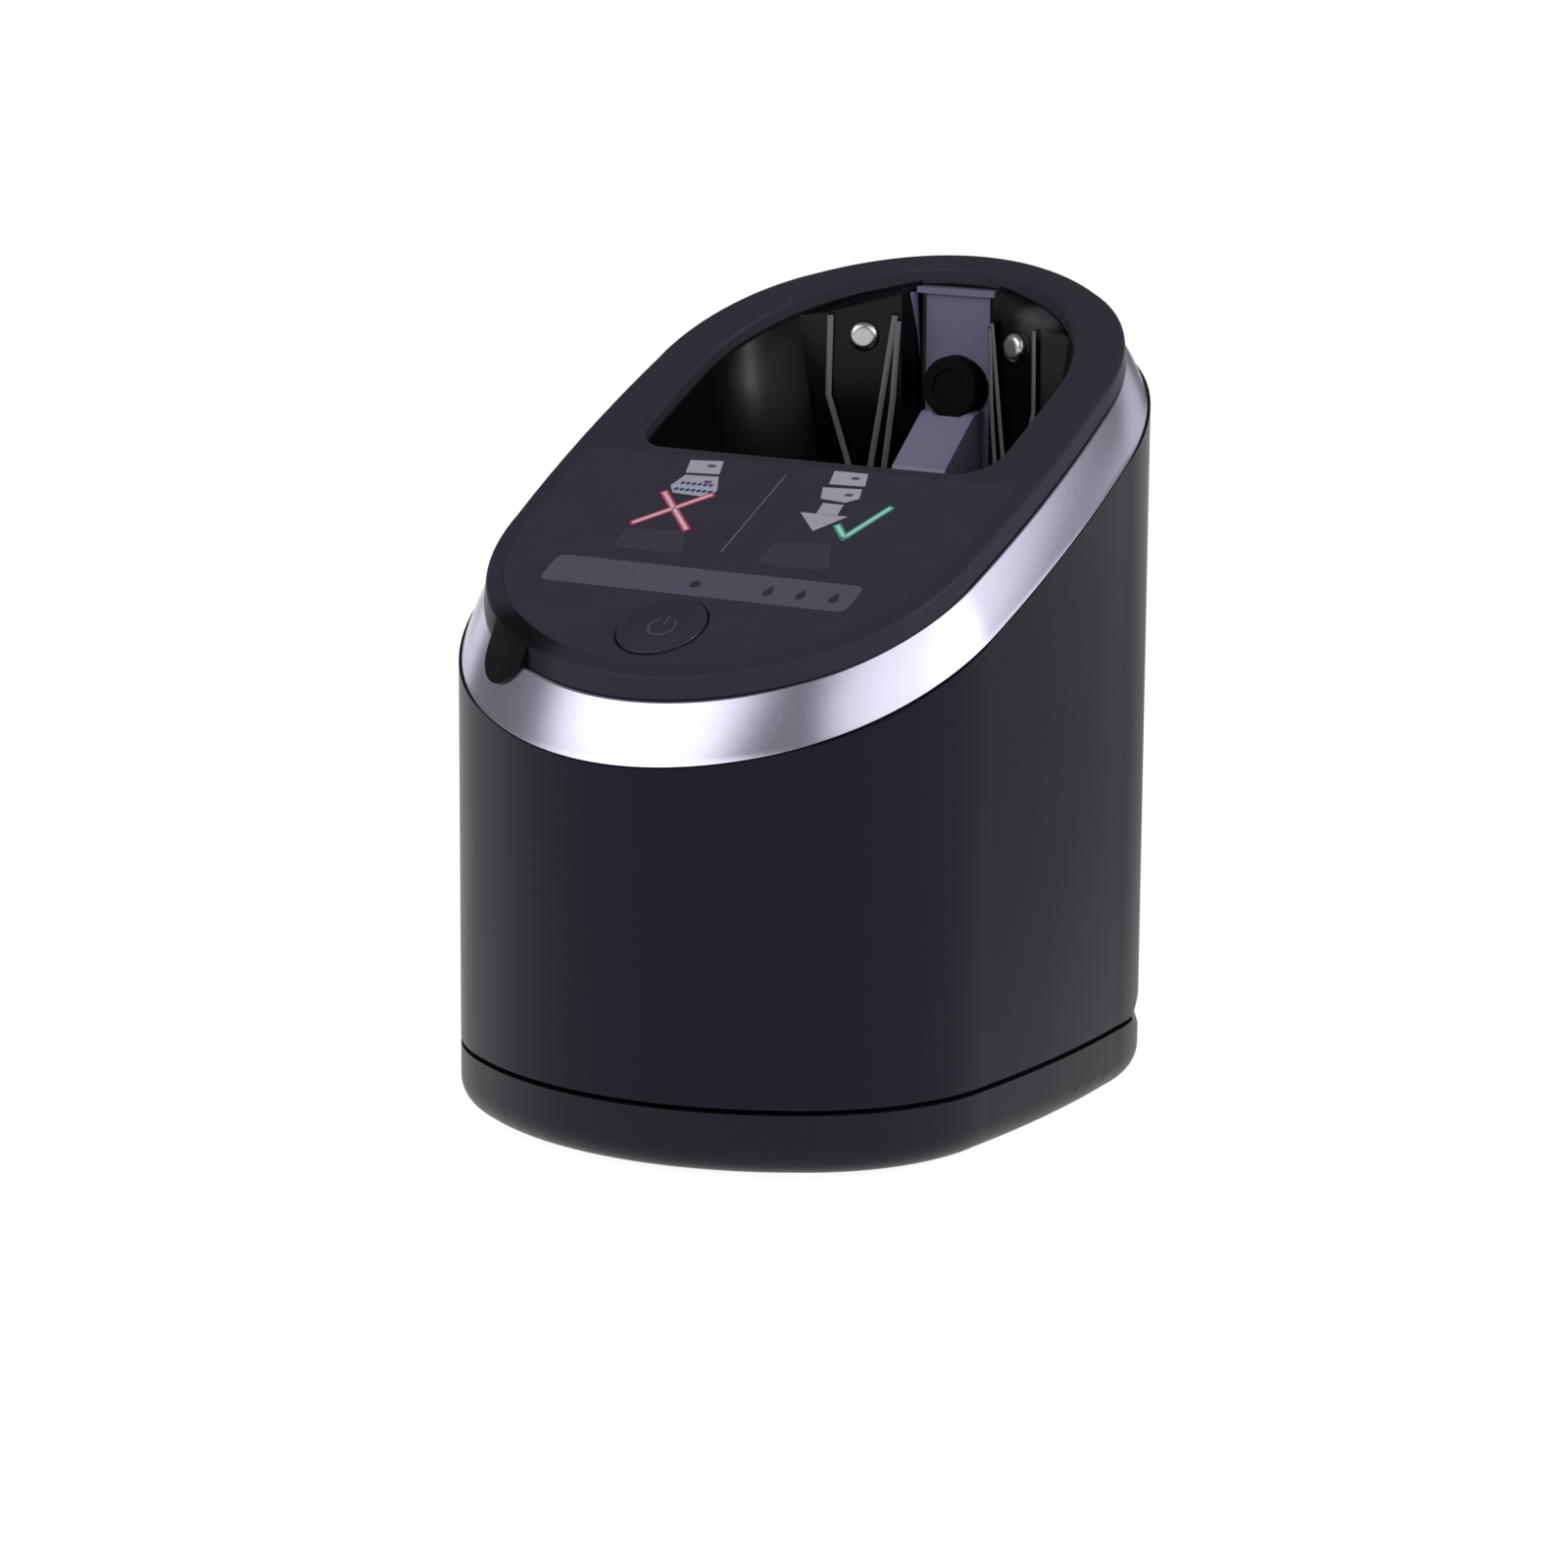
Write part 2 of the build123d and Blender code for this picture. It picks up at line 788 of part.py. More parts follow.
def rim_tab(grow):
    """Tab that hangs from the rim over the collar."""
    skin = slanted_skin(-tab_proud - grow, collar_low, collar_inset - tab_proud - grow, collar_high)
    wall_skin = slanted_skin(
        collar_inset - tab_proud - grow, collar_high, deck_inset - 0.2 - grow, deck_height - 0.4
    )
    core = column(deck_inset + 1.6, 0, reach / 2)
    return ((skin + wall_skin) & tab_prism(grow)) - core


def chrome_collar():
    band = slanted_skin(0, collar_low, collar_inset, collar_high)
    band = band - column(collar_inset + 0.7, 0, reach / 2)
    spigot = slanted_ring(
        wall + fit_gap, collar_inset + 0.6, collar_low - spigot_length, collar_low + 0.5
    )
    return band + spigot - rim_tab(0)


def top_cap():
    low = collar_high + shadow_line
    body = slanted_skin(collar_inset + 0.5, low, deck_inset, deck_height)
    body = fillet(top_face(body).edges(), edge_rounding)
    under = deck_height - cap_thickness / upright
    hollow = column(collar_inset + 0.8 + skirt_thickness, 0, reach / 2) & below(under)
    skirt = slanted_ring(
        collar_inset + 0.8,
        collar_inset + 0.8 + skirt_thickness,
        collar_low - spigot_length,
        low + 1,
    )
    cap = body - hollow + skirt + (rim_tab(0) & below(deck_height))
    mouth = well_column(0, well_floor, reach / 2)
    cap = cap - mouth
    cap = fillet(top_face(cap).inner_wires()[0].edges(), well_rim_rounding)
    cap = cap + board_bosses() - panel_pocket() - deck_holes()
    return cap


def panel_outline(grow):
    """Outline of the control panel in plan: the deck's front part, short of the well."""
    inner = oval(deck_inset + panel_margin - grow)
    front = Pos(0, panel_top + grow - half_depth) * Rectangle(4 * half_width, 2 * half_depth)
    return inner & front


def panel_pocket():
    solid = extrude(panel_outline(panel_gap), reach / 2)
    return solid & above(deck_height - panel_thickness / upright)


def on_deck(x, along, height, shape):
    """Puts a shape on the deck: across, up the slope and above the surface."""
    return deck * Pos(x, along, height) * shape


def deck_holes():
    """Holes through the cap for the button's stem and the light guide."""
    stem = Cylinder(button_radius + button_gap, 4 * cap_thickness)
    slot = Box(window_width - 5, window_height - 3, 4 * cap_thickness)
    return on_deck(0, button_place, 0, stem) + on_deck(0, window_place, 0, slot)


def board_holes():
    """Places of the four board screws on the deck."""
    x = board_half_width - board_hole_inset
    low, high = board_low + board_hole_inset, board_high - board_hole_inset
    return [(sx * x, s) for sx in (-1, 1) for s in (low, high)]


def board_bosses():
    length = board_depth - cap_thickness + 0.5
    boss = Cylinder(board_boss_radius, length, align=(Align.CENTER, Align.CENTER, Align.MIN))
    bosses = [on_deck(x, s, -board_depth, boss) for x, s in board_holes()]
    pilot = Cylinder(pilot_radius, screw_bite + 1, align=(Align.CENTER, Align.CENTER, Align.MIN))
    pilots = [on_deck(x, s, -board_depth, pilot) for x, s in board_holes()]
    return Part() + bosses - pilots


def control_panel():
    panel = extrude(panel_outline(0), reach / 2) & below(deck_height)
    panel = panel & above(deck_height - panel_thickness / upright)
    hole = Cylinder(button_radius + button_gap, 4 * cap_thickness)
    window = Box(window_width + 2 * panel_gap, window_height + 2 * panel_gap, 4 * cap_thickness)
    return panel - on_deck(0, button_place, 0, hole) - on_deck(0, window_place, 0, window)


def display_window():
    plate = Box(window_width, window_height, panel_thickness)
    return on_deck(0, window_place, -panel_thickness / 2, plate)


def light_guide():
    top = -panel_thickness - fit_gap
    sizes = (window_width - 6, window_height - 4, guide_bar_thickness)
    bar = Box(*sizes, align=(Align.CENTER, Align.CENTER, Align.MAX))
    guide = on_deck(0, window_place, top, bar)
    leg_low = -board_depth + led_size[2] + 2 * fit_gap
    leg = Box(*guide_leg, top - 1.0 - leg_low, align=(Align.CENTER, Align.CENTER, Align.MIN))
    return guide + [on_deck(x, window_place, leg_low, leg) for x in light_places]


def status_leds():
    led = Box(*led_size, align=(Align.CENTER, Align.CENTER, Align.MIN))
    return group([on_deck(x, window_place, -board_depth, led) for x in light_places])


def control_board():
    length = board_high - board_low
    plan = RectangleRounded(2 * board_half_width, length, board_corner)
    board = extrude(plan, -board_thickness)
    board = on_deck(0, (board_high + board_low) / 2, -board_depth, board)
    hole = Cylinder(screw_radius + fit_gap, 4 * board_thickness)
    return board - [on_deck(x, s, -board_depth, hole) for x, s in board_holes()]


def board_screws():
    length = screw_head_height + board_thickness
    tip = rod(0, 0, pilot_radius, length - 0.5, length + screw_bite)
    screw = pan_screw(length) + tip
    height = -board_depth - board_thickness - screw_head_height
    return group([on_deck(x, s, height, screw) for x, s in board_holes()])


def tact_switch():
    body = Box(switch_size, switch_size, switch_height, align=(Align.CENTER, Align.CENTER, Align.MIN))
    body = chamfer(body.edges().filter_by(Axis.Z), 0.5)
    bore = rod(0, 0, plunger_radius + fit_gap, switch_floor, switch_height + 1)
    return on_deck(0, button_place, -board_depth, body - bore)


def switch_plunger():
    low = -board_depth + switch_floor + button_travel + 0.2
    high = -board_depth + switch_height + plunger_rise
    return on_deck(0, button_place, 0, rod(0, 0, plunger_radius, low, high))


def start_button():
    low = -board_depth + switch_height + plunger_rise
    under = -cap_thickness - fit_gap
    head = rod(0, 0, button_radius, under - 1.0, button_proud)
    head = fillet(head.edges().sort_by(Axis.Z)[-1], 0.35)
    sphere_radius = (button_radius**2 + button_dish**2) / (2 * button_dish)
    dish = Pos(0, 0, button_proud - button_dish * 0.8 + sphere_radius) * Sphere(sphere_radius)
    flange = rod(0, 0, button_radius + button_gap + flange_width, under - 1.0, under)
    hollow = rod(0, 0, button_radius - button_wall, under - 2, -button_wall)
    stem = rod(0, 0, button_stem, low, -1.0)
    return on_deck(0, button_place, 0, head + flange - dish - hollow + stem)


# Well: gasket, basin and contact cradle
def well_gasket():
    ring = well_column(basin_wall + basin_flange, well_floor, reach / 2)
    ring = ring - well_column(fit_gap, 0, reach)
    top = deck_height - cap_thickness / upright
    return ring & below(top) & above(top - gasket_thickness / upright)


def well_basin():
    top = deck_height - (cap_thickness + gasket_thickness) / upright
    low = well_floor - basin_wall
    cup = well_column(basin_wall, low, reach / 2)
    cup = fillet(cup.faces().sort_by(Axis.Z)[0].edges(), basin_rounding - 1)
    inside = well_column(0, well_floor, reach / 2)
    inside = fillet(inside.faces().sort_by(Axis.Z)[0].edges(), basin_rounding)
    cup = (cup - inside) & below(top)
    flange = well_column(basin_wall + basin_flange, low, reach / 2)
    flange = flange - well_column(basin_wall - 0.5, 0, reach)
    cup = cup + (flange & below(top) & above(top - basin_flange_height))
    cup = cup + rod(drain_x, drain_y, drain_radius, hose_z, well_floor - 0.5)
    cup = cup - rod(drain_x, drain_y, drain_radius - drain_wall, 0, well_floor + 1)
    return cup - rod(0, nozzle_y, nozzle_radius, 0, well_floor + 1)


def cheek_place(sign):
    """Place at the middle of a contact's cheek whose +Y axis points into the cheek."""
    return Pos(sign * cheek_across, cheek_y, 0) * Rot(Z=-sign * cheek_turn)


def cradle_plan():
    """Plan of the cradle: two turned cheeks and the wings beside them."""
    dx, dy = cheek_width / 2 * math.cos(cheek_lean), cheek_width / 2 * math.sin(cheek_lean)
    inner = (cheek_across - dx, cheek_y + dy)
    outer = (cheek_across + dx, cheek_y - dy)
    wing = (outer[0] + wing_run, outer[1] - wing_drop)
    right = [(cradle_inner, spine_face_y - 0.6), inner, outer, wing]
    back = [(wing[0] + wing_reach, wing[1] + 2), (wing[0] + wing_reach, half_depth)]
    middle = [(cradle_inner, half_depth)]
    return make_face(Polyline(*right, *back, *middle, close=True))


def cheek_half(sign):
    """One cheek with its guide ribs, its slanted top and its contact's bore."""
    half = extrude(cradle_plan(), cheek_top + crown_rise - cheek_low)
    half = Pos(0, 0, cheek_low) * (half if sign > 0 else mirror(half, Plane.YZ))
    half = half & well_column(-running_gap, cheek_low, reach / 2)
    crown = Box(reach, reach, reach, align=(Align.CENTER, Align.CENTER, Align.MIN))
    crown_y = cheek_y + (cheek_across - crown_across) * math.tan(cheek_lean)
    crown = Rot(Y=sign * crown_slope) * Rot(X=crown_lean) * crown
    half = half - Pos(sign * crown_across, crown_y, cheek_top) * crown
    place = cheek_place(sign)
    for drop, across in zip(rib_drops, (outer_rib_across, inner_rib_across, edge_rib_across)):
        heights = (cheek_top - drop, rib_kink_z, rib_foot_z)
        line = [(sign * x, z) for x, z in zip(across, heights)]
        for start, end in zip(line, line[1:]):
            half = half + place * guide_rib(start, end)
    bore = Pos(0, 0, contact_z) * Rot(X=-90) * Cylinder(
        contact_radius + fit_gap, 2 * contact_bore_depth
    )
    return half - place * bore


def guide_rib(start, end):
    """Narrow rib on a cheek between two places given across and up."""
    run = math.hypot(end[0] - start[0], end[1] - start[1])
    lean = math.degrees(math.atan2(end[0] - start[0], end[1] - start[1]))
    middle = Pos((start[0] + end[0]) / 2, (0.5 - rib_proud) / 2, (start[1] + end[1]) / 2)
    return middle * Rot(Y=lean) * Box(rib_width, rib_proud + 0.5, run + rib_width / 2)


def contact_cradle():
    half = cradle_inner + 1
    along = (cheek_y - 4, half_depth)
    bridge = block((-half, half), along, (cheek_low, cheek_low + cradle_floor))
    bridge = bridge & well_column(-running_gap, cheek_low, reach / 2)
    return cheek_half(1) + cheek_half(-1) + bridge


def cradle_spine():
    """Centre rib of the cradle: an upright slab with a ledge on top and a ramp below."""
    floor = cheek_low + cradle_floor
    slab = block((-spine_half_width, spine_half_width), (spine_face_y, half_depth), (floor, ledge_z))
    ramp = spine_side(
        [
            (spine_face_y + 1, ramp_top[1] + 0.6),
            (spine_face_y, ramp_top[1] + 0.6),
            ramp_top,
            ramp_bottom,
            (ramp_foot_y, ramp_bottom[1] - ramp_foot_drop),
            (ramp_foot_y, floor),
            (spine_face_y + 1, floor),
        ],
        ramp_half_width,
    )
    ledge = block(
        (-ledge_half_width, ledge_half_width),
        (spine_face_y - ledge_proud, half_depth),
        (ledge_z - ledge_height, ledge_z + ledge_height),
    )
    spine = (slab + ramp + ledge) & well_column(-running_gap, cheek_low, reach / 2)
    seat = Pos(0, (boss_face_y + half_depth) / 2, boss_z) * Rot(X=90)
    spine = spine - seat * Cylinder(boss_radius + running_gap, half_depth - boss_face_y + 2)
    return spine - slab_hollow()


def slab_hollow():
    """Space behind the ramp that keeps the moulding an even thickness."""
    low = cheek_low + cradle_floor + 2
    front, back = ramp_foot_y + 2.4, spine_face_y - 2.5
    return spine_side(
        [
            (front, low),
            (front, ramp_bottom[1] - ramp_foot_drop - 1.0),
            (ramp_bottom[0] + 2.0, ramp_bottom[1] - 2.4),
            (back, ramp_top[1] - ramp_step),
            (back, low),
        ],
        ramp_half_width - spine_wall,
    )


def spine_side(points, half):
    """Solid with this outline in the side view, spread evenly across the middle."""
    return extrude(Plane.YZ * make_face(Polyline(*points, close=True)), half, both=True)


def locating_boss():
    """Round boss between the slab and the ramp that finds the shaver's tail."""
    back = well_back - 0.9
    place = Pos(0, (boss_face_y + back) / 2, boss_z) * Rot(X=90)
    boss = place * Cylinder(boss_radius, back - boss_face_y)
    boss = fillet(boss.edges().sort_by(Axis.Y)[0], 0.8)
    socket = Pos(0, boss_face_y, boss_z) * Rot(X=90) * Cylinder(
        boss_radius - boss_wall, 2 * boss_socket_depth
    )
    return boss - socket


def contact_pin(sign):
    """Domed contact that slides into its cheek."""
    head = Cylinder(contact_radius, 2 * contact_proud)
    head = fillet(head.edges().sort_by(Axis.Z)[-1], contact_radius * 0.45)
    stub_low = -contact_proud - contact_stub_length
    stub = rod(0, 0, contact_stub_radius, stub_low, -contact_proud + 0.5)
    pin = Pos(0, 0, contact_z) * Rot(X=90) * (head + stub)
    return cheek_place(sign) * pin


def contact_spring(sign):
    start = contact_proud + running_gap
    length = contact_bore_depth - start - running_gap
    spring = coil(contact_spring_radius, contact_spring_wire / 2, length, contact_spring_turns)
    return cheek_place(sign) * Pos(0, start, contact_z) * Rot(X=-90) * spring


# Chassis and what it carries
def chassis():
    plate = column(wall + fit_gap, chassis_z, chassis_top)
    for x, y in rod_places:
        outer = rod_radius + sleeve_wall
        plate = plate + rod(x, y, outer, sleeve_low, sleeve_high)
        plate = plate - rod(x, y, rod_radius + running_gap, sleeve_low - 1, sleeve_high + 1)
    for x, y in housing_screw_places:
        plate = plate - rod(x, y, screw_radius + fit_gap, 0, chassis_top + 1)
    plate = plate - rod(pump_x, pump_y, suction_radius + fit_gap, 0, chassis_top + 1)
    outer = drain_radius + running_gap + drain_wall
    plate = plate - rod(drain_x, drain_y, outer + fit_gap, 0, chassis_top + 1)
    for x, y in power_board_posts():
        plate = plate + rod(x, y, power_post_radius, chassis_top - 0.5, power_board_z)
    plate = plate + rod(0, nozzle_y, nozzle_radius, chassis_top - 0.5, nozzle_low)
    return plate + socket_shelf()


def socket_shelf():
    """Bracket that hangs from the chassis and holds the power inlet's body."""
    front = half_depth - socket_depth + 1
    top = socket_z + socket_height / 2
    across = (-shelf_half_width, shelf_half_width)
    return block(across, (front, front + shelf_thickness), (top, chassis_z + 0.5))


def power_board_posts():
    step_x, step_y = power_post_steps
    return [(power_board_x + sx * step_x, pump_y + sy * step_y) for sx in (-1, 1) for sy in (-1, 1)]


def power_board():
    plan = RectangleRounded(*power_board_size, power_board_corner)
    return Pos(power_board_x, pump_y, power_board_z) * extrude(plan, board_thickness)


def on_power_board(place, shape):
    """Puts a shape on the power board at a place measured from the board's middle."""
    top = power_board_z + board_thickness
    return Pos(power_board_x + place[0], pump_y + place[1], top) * shape


def board_parts():
    """Capacitor, coil, connector and regulator on the power board."""
    capacitor = rod(0, 0, capacitor_radius, 0, capacitor_height)
    capacitor = fillet(capacitor.edges().sort_by(Axis.Z)[-1], 0.8)
    standing = (Align.CENTER, Align.CENTER, Align.MIN)
    inductor = Box(*inductor_size, align=standing)
    inductor = chamfer(inductor.edges().filter_by(Axis.Z), inductor_corner)
    connector = Box(*connector_size, align=standing)
    regulator = Box(*regulator_size, align=standing)
    placed = [
        on_power_board(capacitor_place, capacitor),
        on_power_board(inductor_place, inductor),
        on_power_board(connector_place, connector),
        on_power_board(regulator_place, regulator),
    ]
    return group(placed)


def housing_screws():
    shank = rod(0, 0, screw_radius, screw_head_height - 0.5, screw_head_height + chassis_thickness)
    screw = pan_screw(screw_head_height + 0.5) + shank
    screw = screw + rod(0, 0, pilot_radius, screw_head_height + 2, housing_screw_length)
    low = chassis_z - screw_head_height
    return group([Pos(x, y, low) * screw for x, y in housing_screw_places])


def pump_housing():
    cup = rod(pump_x, pump_y, pump_radius, pump_low, pump_top)
    cup = cup - rod(pump_x, pump_y, pump_radius - pump_wall, pump_low + pump_wall, pump_top + 1)
    start = pump_y + pump_radius - pump_wall / 2
    place = Pos(pump_x, start + 2, hose_z) * Rot(X=90)
    outlet = place * Cylinder(hose_bore, barb_length)
    flow = place * Cylinder(hose_bore - barb_wall, 2 * barb_length - 1)
    cup = cup + outlet - flow
    return cup - rod(pump_x, pump_y, suction_radius, pump_low - 1, pump_low + pump_wall + 1)


def pump_cover():
    cover = rod(pump_x, pump_y, pump_radius, pump_top, cover_top)
    return cover - rod(pump_x, pump_y, shaft_radius + running_gap, 0, reach)


def pump_motor():
    can = rod(pump_x, pump_y, motor_radius, cover_top, cover_top + motor_height)
    can = fillet(can.edges().sort_by(Axis.Z)[-1], motor_rounding)
    tail_low = cover_top + motor_height
    tail = rod(pump_x, pump_y, motor_tail_radius, tail_low - 0.5, tail_low + motor_tail_height)
    bore = rod(pump_x, pump_y, shaft_radius + running_gap, 0, cover_top + shaft_depth + 1)
    return can + tail - bore


def motor_shaft():
    return rod(pump_x, pump_y, shaft_radius, pump_low + shaft_low_gap, cover_top + shaft_depth)


def pump_impeller():
    low = pump_low + pump_wall + impeller_gap
    disc = rod(0, 0, impeller_radius, low, low + impeller_disc)
    disc = disc + rod(0, 0, hub_radius, low, low + impeller_height)
    along = (hub_radius - 0.6, impeller_radius - blade_gap)
    across = (-blade_thickness / 2, blade_thickness / 2)
    blade = block(along, across, (low + impeller_disc - 0.4, low + impeller_height))
    wheel = disc + [Rot(Z=360 / blade_count * step) * blade for step in range(blade_count)]
    wheel = wheel - rod(0, 0, shaft_radius, 0, reach)
    return Pos(pump_x, pump_y, 0) * wheel


def suction_tube():
    return pipe(pump_x, pump_y, suction_radius, suction_bore, suction_low, pump_low + pump_wall)


def supply_hose():
    """Hose under the basin from the pump's outlet to the spray nozzle."""
    start_y = pump_y + pump_radius + hose_end_gap
    end_y = nozzle_y - nozzle_radius - hose_end_gap
    route = [(pump_x, start_y), (pump_x, start_y + hose_run), (0, end_y - hose_run), (0, end_y)]
    path = Pos(0, 0, hose_z) * FilletPolyline(*route, radius=hose_bend)
    start = Plane(path @ 0, z_dir=path % 0)
    hose = sweep(start * Circle(hose_radius), path)
    return hose - sweep(start * Circle(hose_bore), path)


def spray_nozzle():
    body = rod(0, nozzle_y, nozzle_radius, nozzle_low, well_floor + nozzle_rise)
    body = fillet(body.edges().sort_by(Axis.Z)[-1], 1.2)
    start = nozzle_y - nozzle_radius
    barb = Pos(0, start - 1, hose_z) * Rot(X=90) * Cylinder(hose_bore, barb_length)
    flow = Pos(0, start, hose_z) * Rot(X=90) * Cylinder(hose_bore - barb_wall, 2 * nozzle_radius)
    rise = rod(0, nozzle_y, nozzle_bore, hose_z, well_floor + nozzle_rise + 1)
    return body + barb - flow - rise


def drain_tube():
    bore = drain_radius + running_gap
    low = cartridge_top - lid_thickness
    return pipe(drain_x, drain_y, bore + drain_wall, bore, low, well_floor - basin_wall - 1)


# Rear: power inlet and release button
def power_socket():
    front = half_depth - socket_depth
    outside = half_depth - socket_step
    body = block(
        (-socket_width / 2 + fit_gap, socket_width / 2 - fit_gap),
        (front, outside),
        (socket_z - socket_height / 2 + fit_gap, socket_z + socket_height / 2 - fit_gap),
    )
    body = body & column(socket_recess, 0, reach / 2)
    inner_sizes = (socket_width - 2 * socket_wall, socket_height - 2 * socket_wall)
    plan = RectangleRounded(*inner_sizes, socket_corner)
    cavity = extrude(Plane.XZ * plan, socket_cavity_depth, both=True)
    body = body - Pos(0, half_depth, socket_z) * cavity
    pins = Pos(0, front, socket_z) * Rot(X=90) * Cylinder(socket_pin_radius, 2 * socket_depth)
    across = socket_pin_spacing / 2
    return body - Pos(across, 0, 0) * pins - Pos(-across, 0, 0) * pins


def socket_pins():
    back = half_depth - socket_depth - socket_pin_tail
    tip = half_depth - socket_cavity_depth + socket_pin_length
    pin = Pos(0, (back + tip) / 2, socket_z) * Rot(X=90) * Cylinder(socket_pin_radius, tip - back)
    pin = fillet(pin.edges().sort_by(Axis.Y)[-1], 0.5)
    across = socket_pin_spacing / 2
    return group([Pos(across, 0, 0) * pin, Pos(-across, 0, 0) * pin])


def release_button():
    """Push plate in the rear wall with the arm and cross hook that it moves."""
    half, rise = release_width / 2, release_height / 2
    inner_face = half_depth - rear_relief
    flange_half, flange_rise = half + release_flange, rise + release_flange
    neck_half, neck_rise = half - release_neck_step, rise - release_neck_step
    plate = release_slab(half, rise, half_depth - wall - 1, half_depth + 1)
    plate = plate & column(release_recess, 0, collar_low)
    flange = release_slab(flange_half, flange_rise, flange_front, inner_face + 0.4)
    neck = release_slab(neck_half, neck_rise, inner_face, half_depth - wall)
    hook_y = catch_front - catch_gap
    arm = release_slab(arm_half_width, hook_height / 2, hook_y - 1, inner_face)
    bar = release_slab(hook_half_width, hook_height / 2, hook_y - hook_thickness, hook_y)
    return plate + neck + flange + arm + bar


def release_slab(half, rise, front, back):
    """Box centred on the release button's middle, between two distances from the front."""
    return block((-half, half), (front, back), (release_z - rise, release_z + rise))


def release_spring():
    start = guide_back + fit_gap
    length = flange_front - fit_gap - start
    spring = coil(
        release_spring_radius, release_spring_wire / 2, length, release_spring_turns
    )
    return Pos(0, start, release_z) * Rot(X=-90) * spring


def build():
    """Every piece by name."""
    pieces = {
        "base_shell": base_shell(),
        "base_deck": base_deck(),
        "base_screws": base_screws(),
        "rubber_feet": rubber_feet(),
        "guide_rods": guide_rods(),
        "lift_springs": lift_springs(),
        "latch_catch": latch_catch(),
        "cartridge_tank": cartridge_tank(),
        "cartridge_lid": cartridge_lid(),
        "port_seals": port_seals(),
        "cartridge_filter": cartridge_filter(),
        "housing_shell": housing_shell(),
        "chrome_collar": chrome_collar(),
        "top_cap": top_cap(),
        "control_panel": control_panel(),
        "display_window": display_window(),
        "light_guide": light_guide(),
        "status_leds": status_leds(),
        "control_board": control_board(),
        "board_screws": board_screws(),
        "tact_switch": tact_switch(),
        "switch_plunger": switch_plunger(),
        "start_button": start_button(),
        "well_gasket": well_gasket(),
        "well_basin": well_basin(),
        "contact_cradle": contact_cradle(),
        "cradle_spine": cradle_spine(),
        "locating_boss": locating_boss(),
        "chassis": chassis(),
        "power_board": power_board(),
        "board_parts": board_parts(),
        "housing_screws": housing_screws(),
        "pump_housing": pump_housing(),
        "pump_cover": pump_cover(),
        "pump_motor": pump_motor(),
        "motor_shaft": motor_shaft(),
        "pump_impeller": pump_impeller(),
        "suction_tube": suction_tube(),
        "supply_hose": supply_hose(),
        "spray_nozzle": spray_nozzle(),
        "drain_tube": drain_tube(),
        "power_socket": power_socket(),
        "socket_pins": socket_pins(),
        "release_button": release_button(),
        "release_spring": release_spring(),
    }
    for side, sign in cheek_signs.items():
        pieces[f"contact_pin_{side}"] = contact_pin(sign)
        pieces[f"contact_spring_{side}"] = contact_spring(sign)
    return pieces


os.makedirs("parts", exist_ok=True)
for name, piece in build().items():
    export_step(piece, f"parts/{name}.step")
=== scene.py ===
import json
import math

import bmesh
import bpy
from mathutils import Matrix, Vector

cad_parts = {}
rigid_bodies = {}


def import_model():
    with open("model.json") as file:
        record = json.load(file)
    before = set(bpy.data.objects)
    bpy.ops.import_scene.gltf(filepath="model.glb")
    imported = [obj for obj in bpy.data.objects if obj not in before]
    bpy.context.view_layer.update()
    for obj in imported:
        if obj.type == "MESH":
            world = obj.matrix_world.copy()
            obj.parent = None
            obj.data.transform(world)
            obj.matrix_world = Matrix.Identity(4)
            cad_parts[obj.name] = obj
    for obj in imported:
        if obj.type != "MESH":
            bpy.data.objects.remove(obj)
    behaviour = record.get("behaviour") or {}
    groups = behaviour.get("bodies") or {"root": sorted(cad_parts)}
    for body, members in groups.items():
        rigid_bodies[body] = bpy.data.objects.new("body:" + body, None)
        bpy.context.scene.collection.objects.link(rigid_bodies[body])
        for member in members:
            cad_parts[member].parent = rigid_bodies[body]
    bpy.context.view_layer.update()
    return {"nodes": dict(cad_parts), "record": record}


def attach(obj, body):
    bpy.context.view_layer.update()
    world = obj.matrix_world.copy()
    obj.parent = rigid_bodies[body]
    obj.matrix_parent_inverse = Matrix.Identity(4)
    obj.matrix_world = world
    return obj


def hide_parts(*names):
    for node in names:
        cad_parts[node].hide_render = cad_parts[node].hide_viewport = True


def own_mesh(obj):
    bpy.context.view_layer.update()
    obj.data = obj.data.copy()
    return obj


for leftover in list(bpy.data.objects):
    bpy.data.objects.remove(leftover)
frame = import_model()
print("frame loaded:", len(frame["nodes"]), "nodes")

mm = 0.001
mergeDistance = 1e-6  # for the doubles of a CAD mesh, in metres
stand = dict(  # the stand's main sizes, in millimetres and degrees
    halfWidth=56.0, halfDepth=70.0, sideRadius=290.0, endRadius=64.0, cornerRadius=46.0,
    tilt=26.45, collarLow=110.5, collarRise=8.9, deckRise=13.2, collarInset=4.3, wall=2.5,
)
tiltAngle = math.radians(stand["tilt"])
slope = math.tan(tiltAngle)
deckHeight = stand["collarLow"] + stand["deckRise"]
deckUp = Vector((0, -math.sin(tiltAngle), math.cos(tiltAngle)))
deckAlong = Vector((0, math.cos(tiltAngle), math.sin(tiltAngle)))


def deckPoint(x, along, height=0.0, base=deckHeight):  # a place on the slanted deck, in metres
    return (Vector((x, 0, base)) + deckAlong * along + deckUp * height) * mm


# The camera stands where the photograph was taken from

cameraLook = dict(
    place=(0.5017, -0.8384, 0.2659), lens=119.37, sensor=36.0, clip=0.01,
    right=(0.85516, 0.51832, 0.00651), up=(-0.11251, 0.17335, 0.97841), back=(0.50600, -0.83743, 0.20656),
)


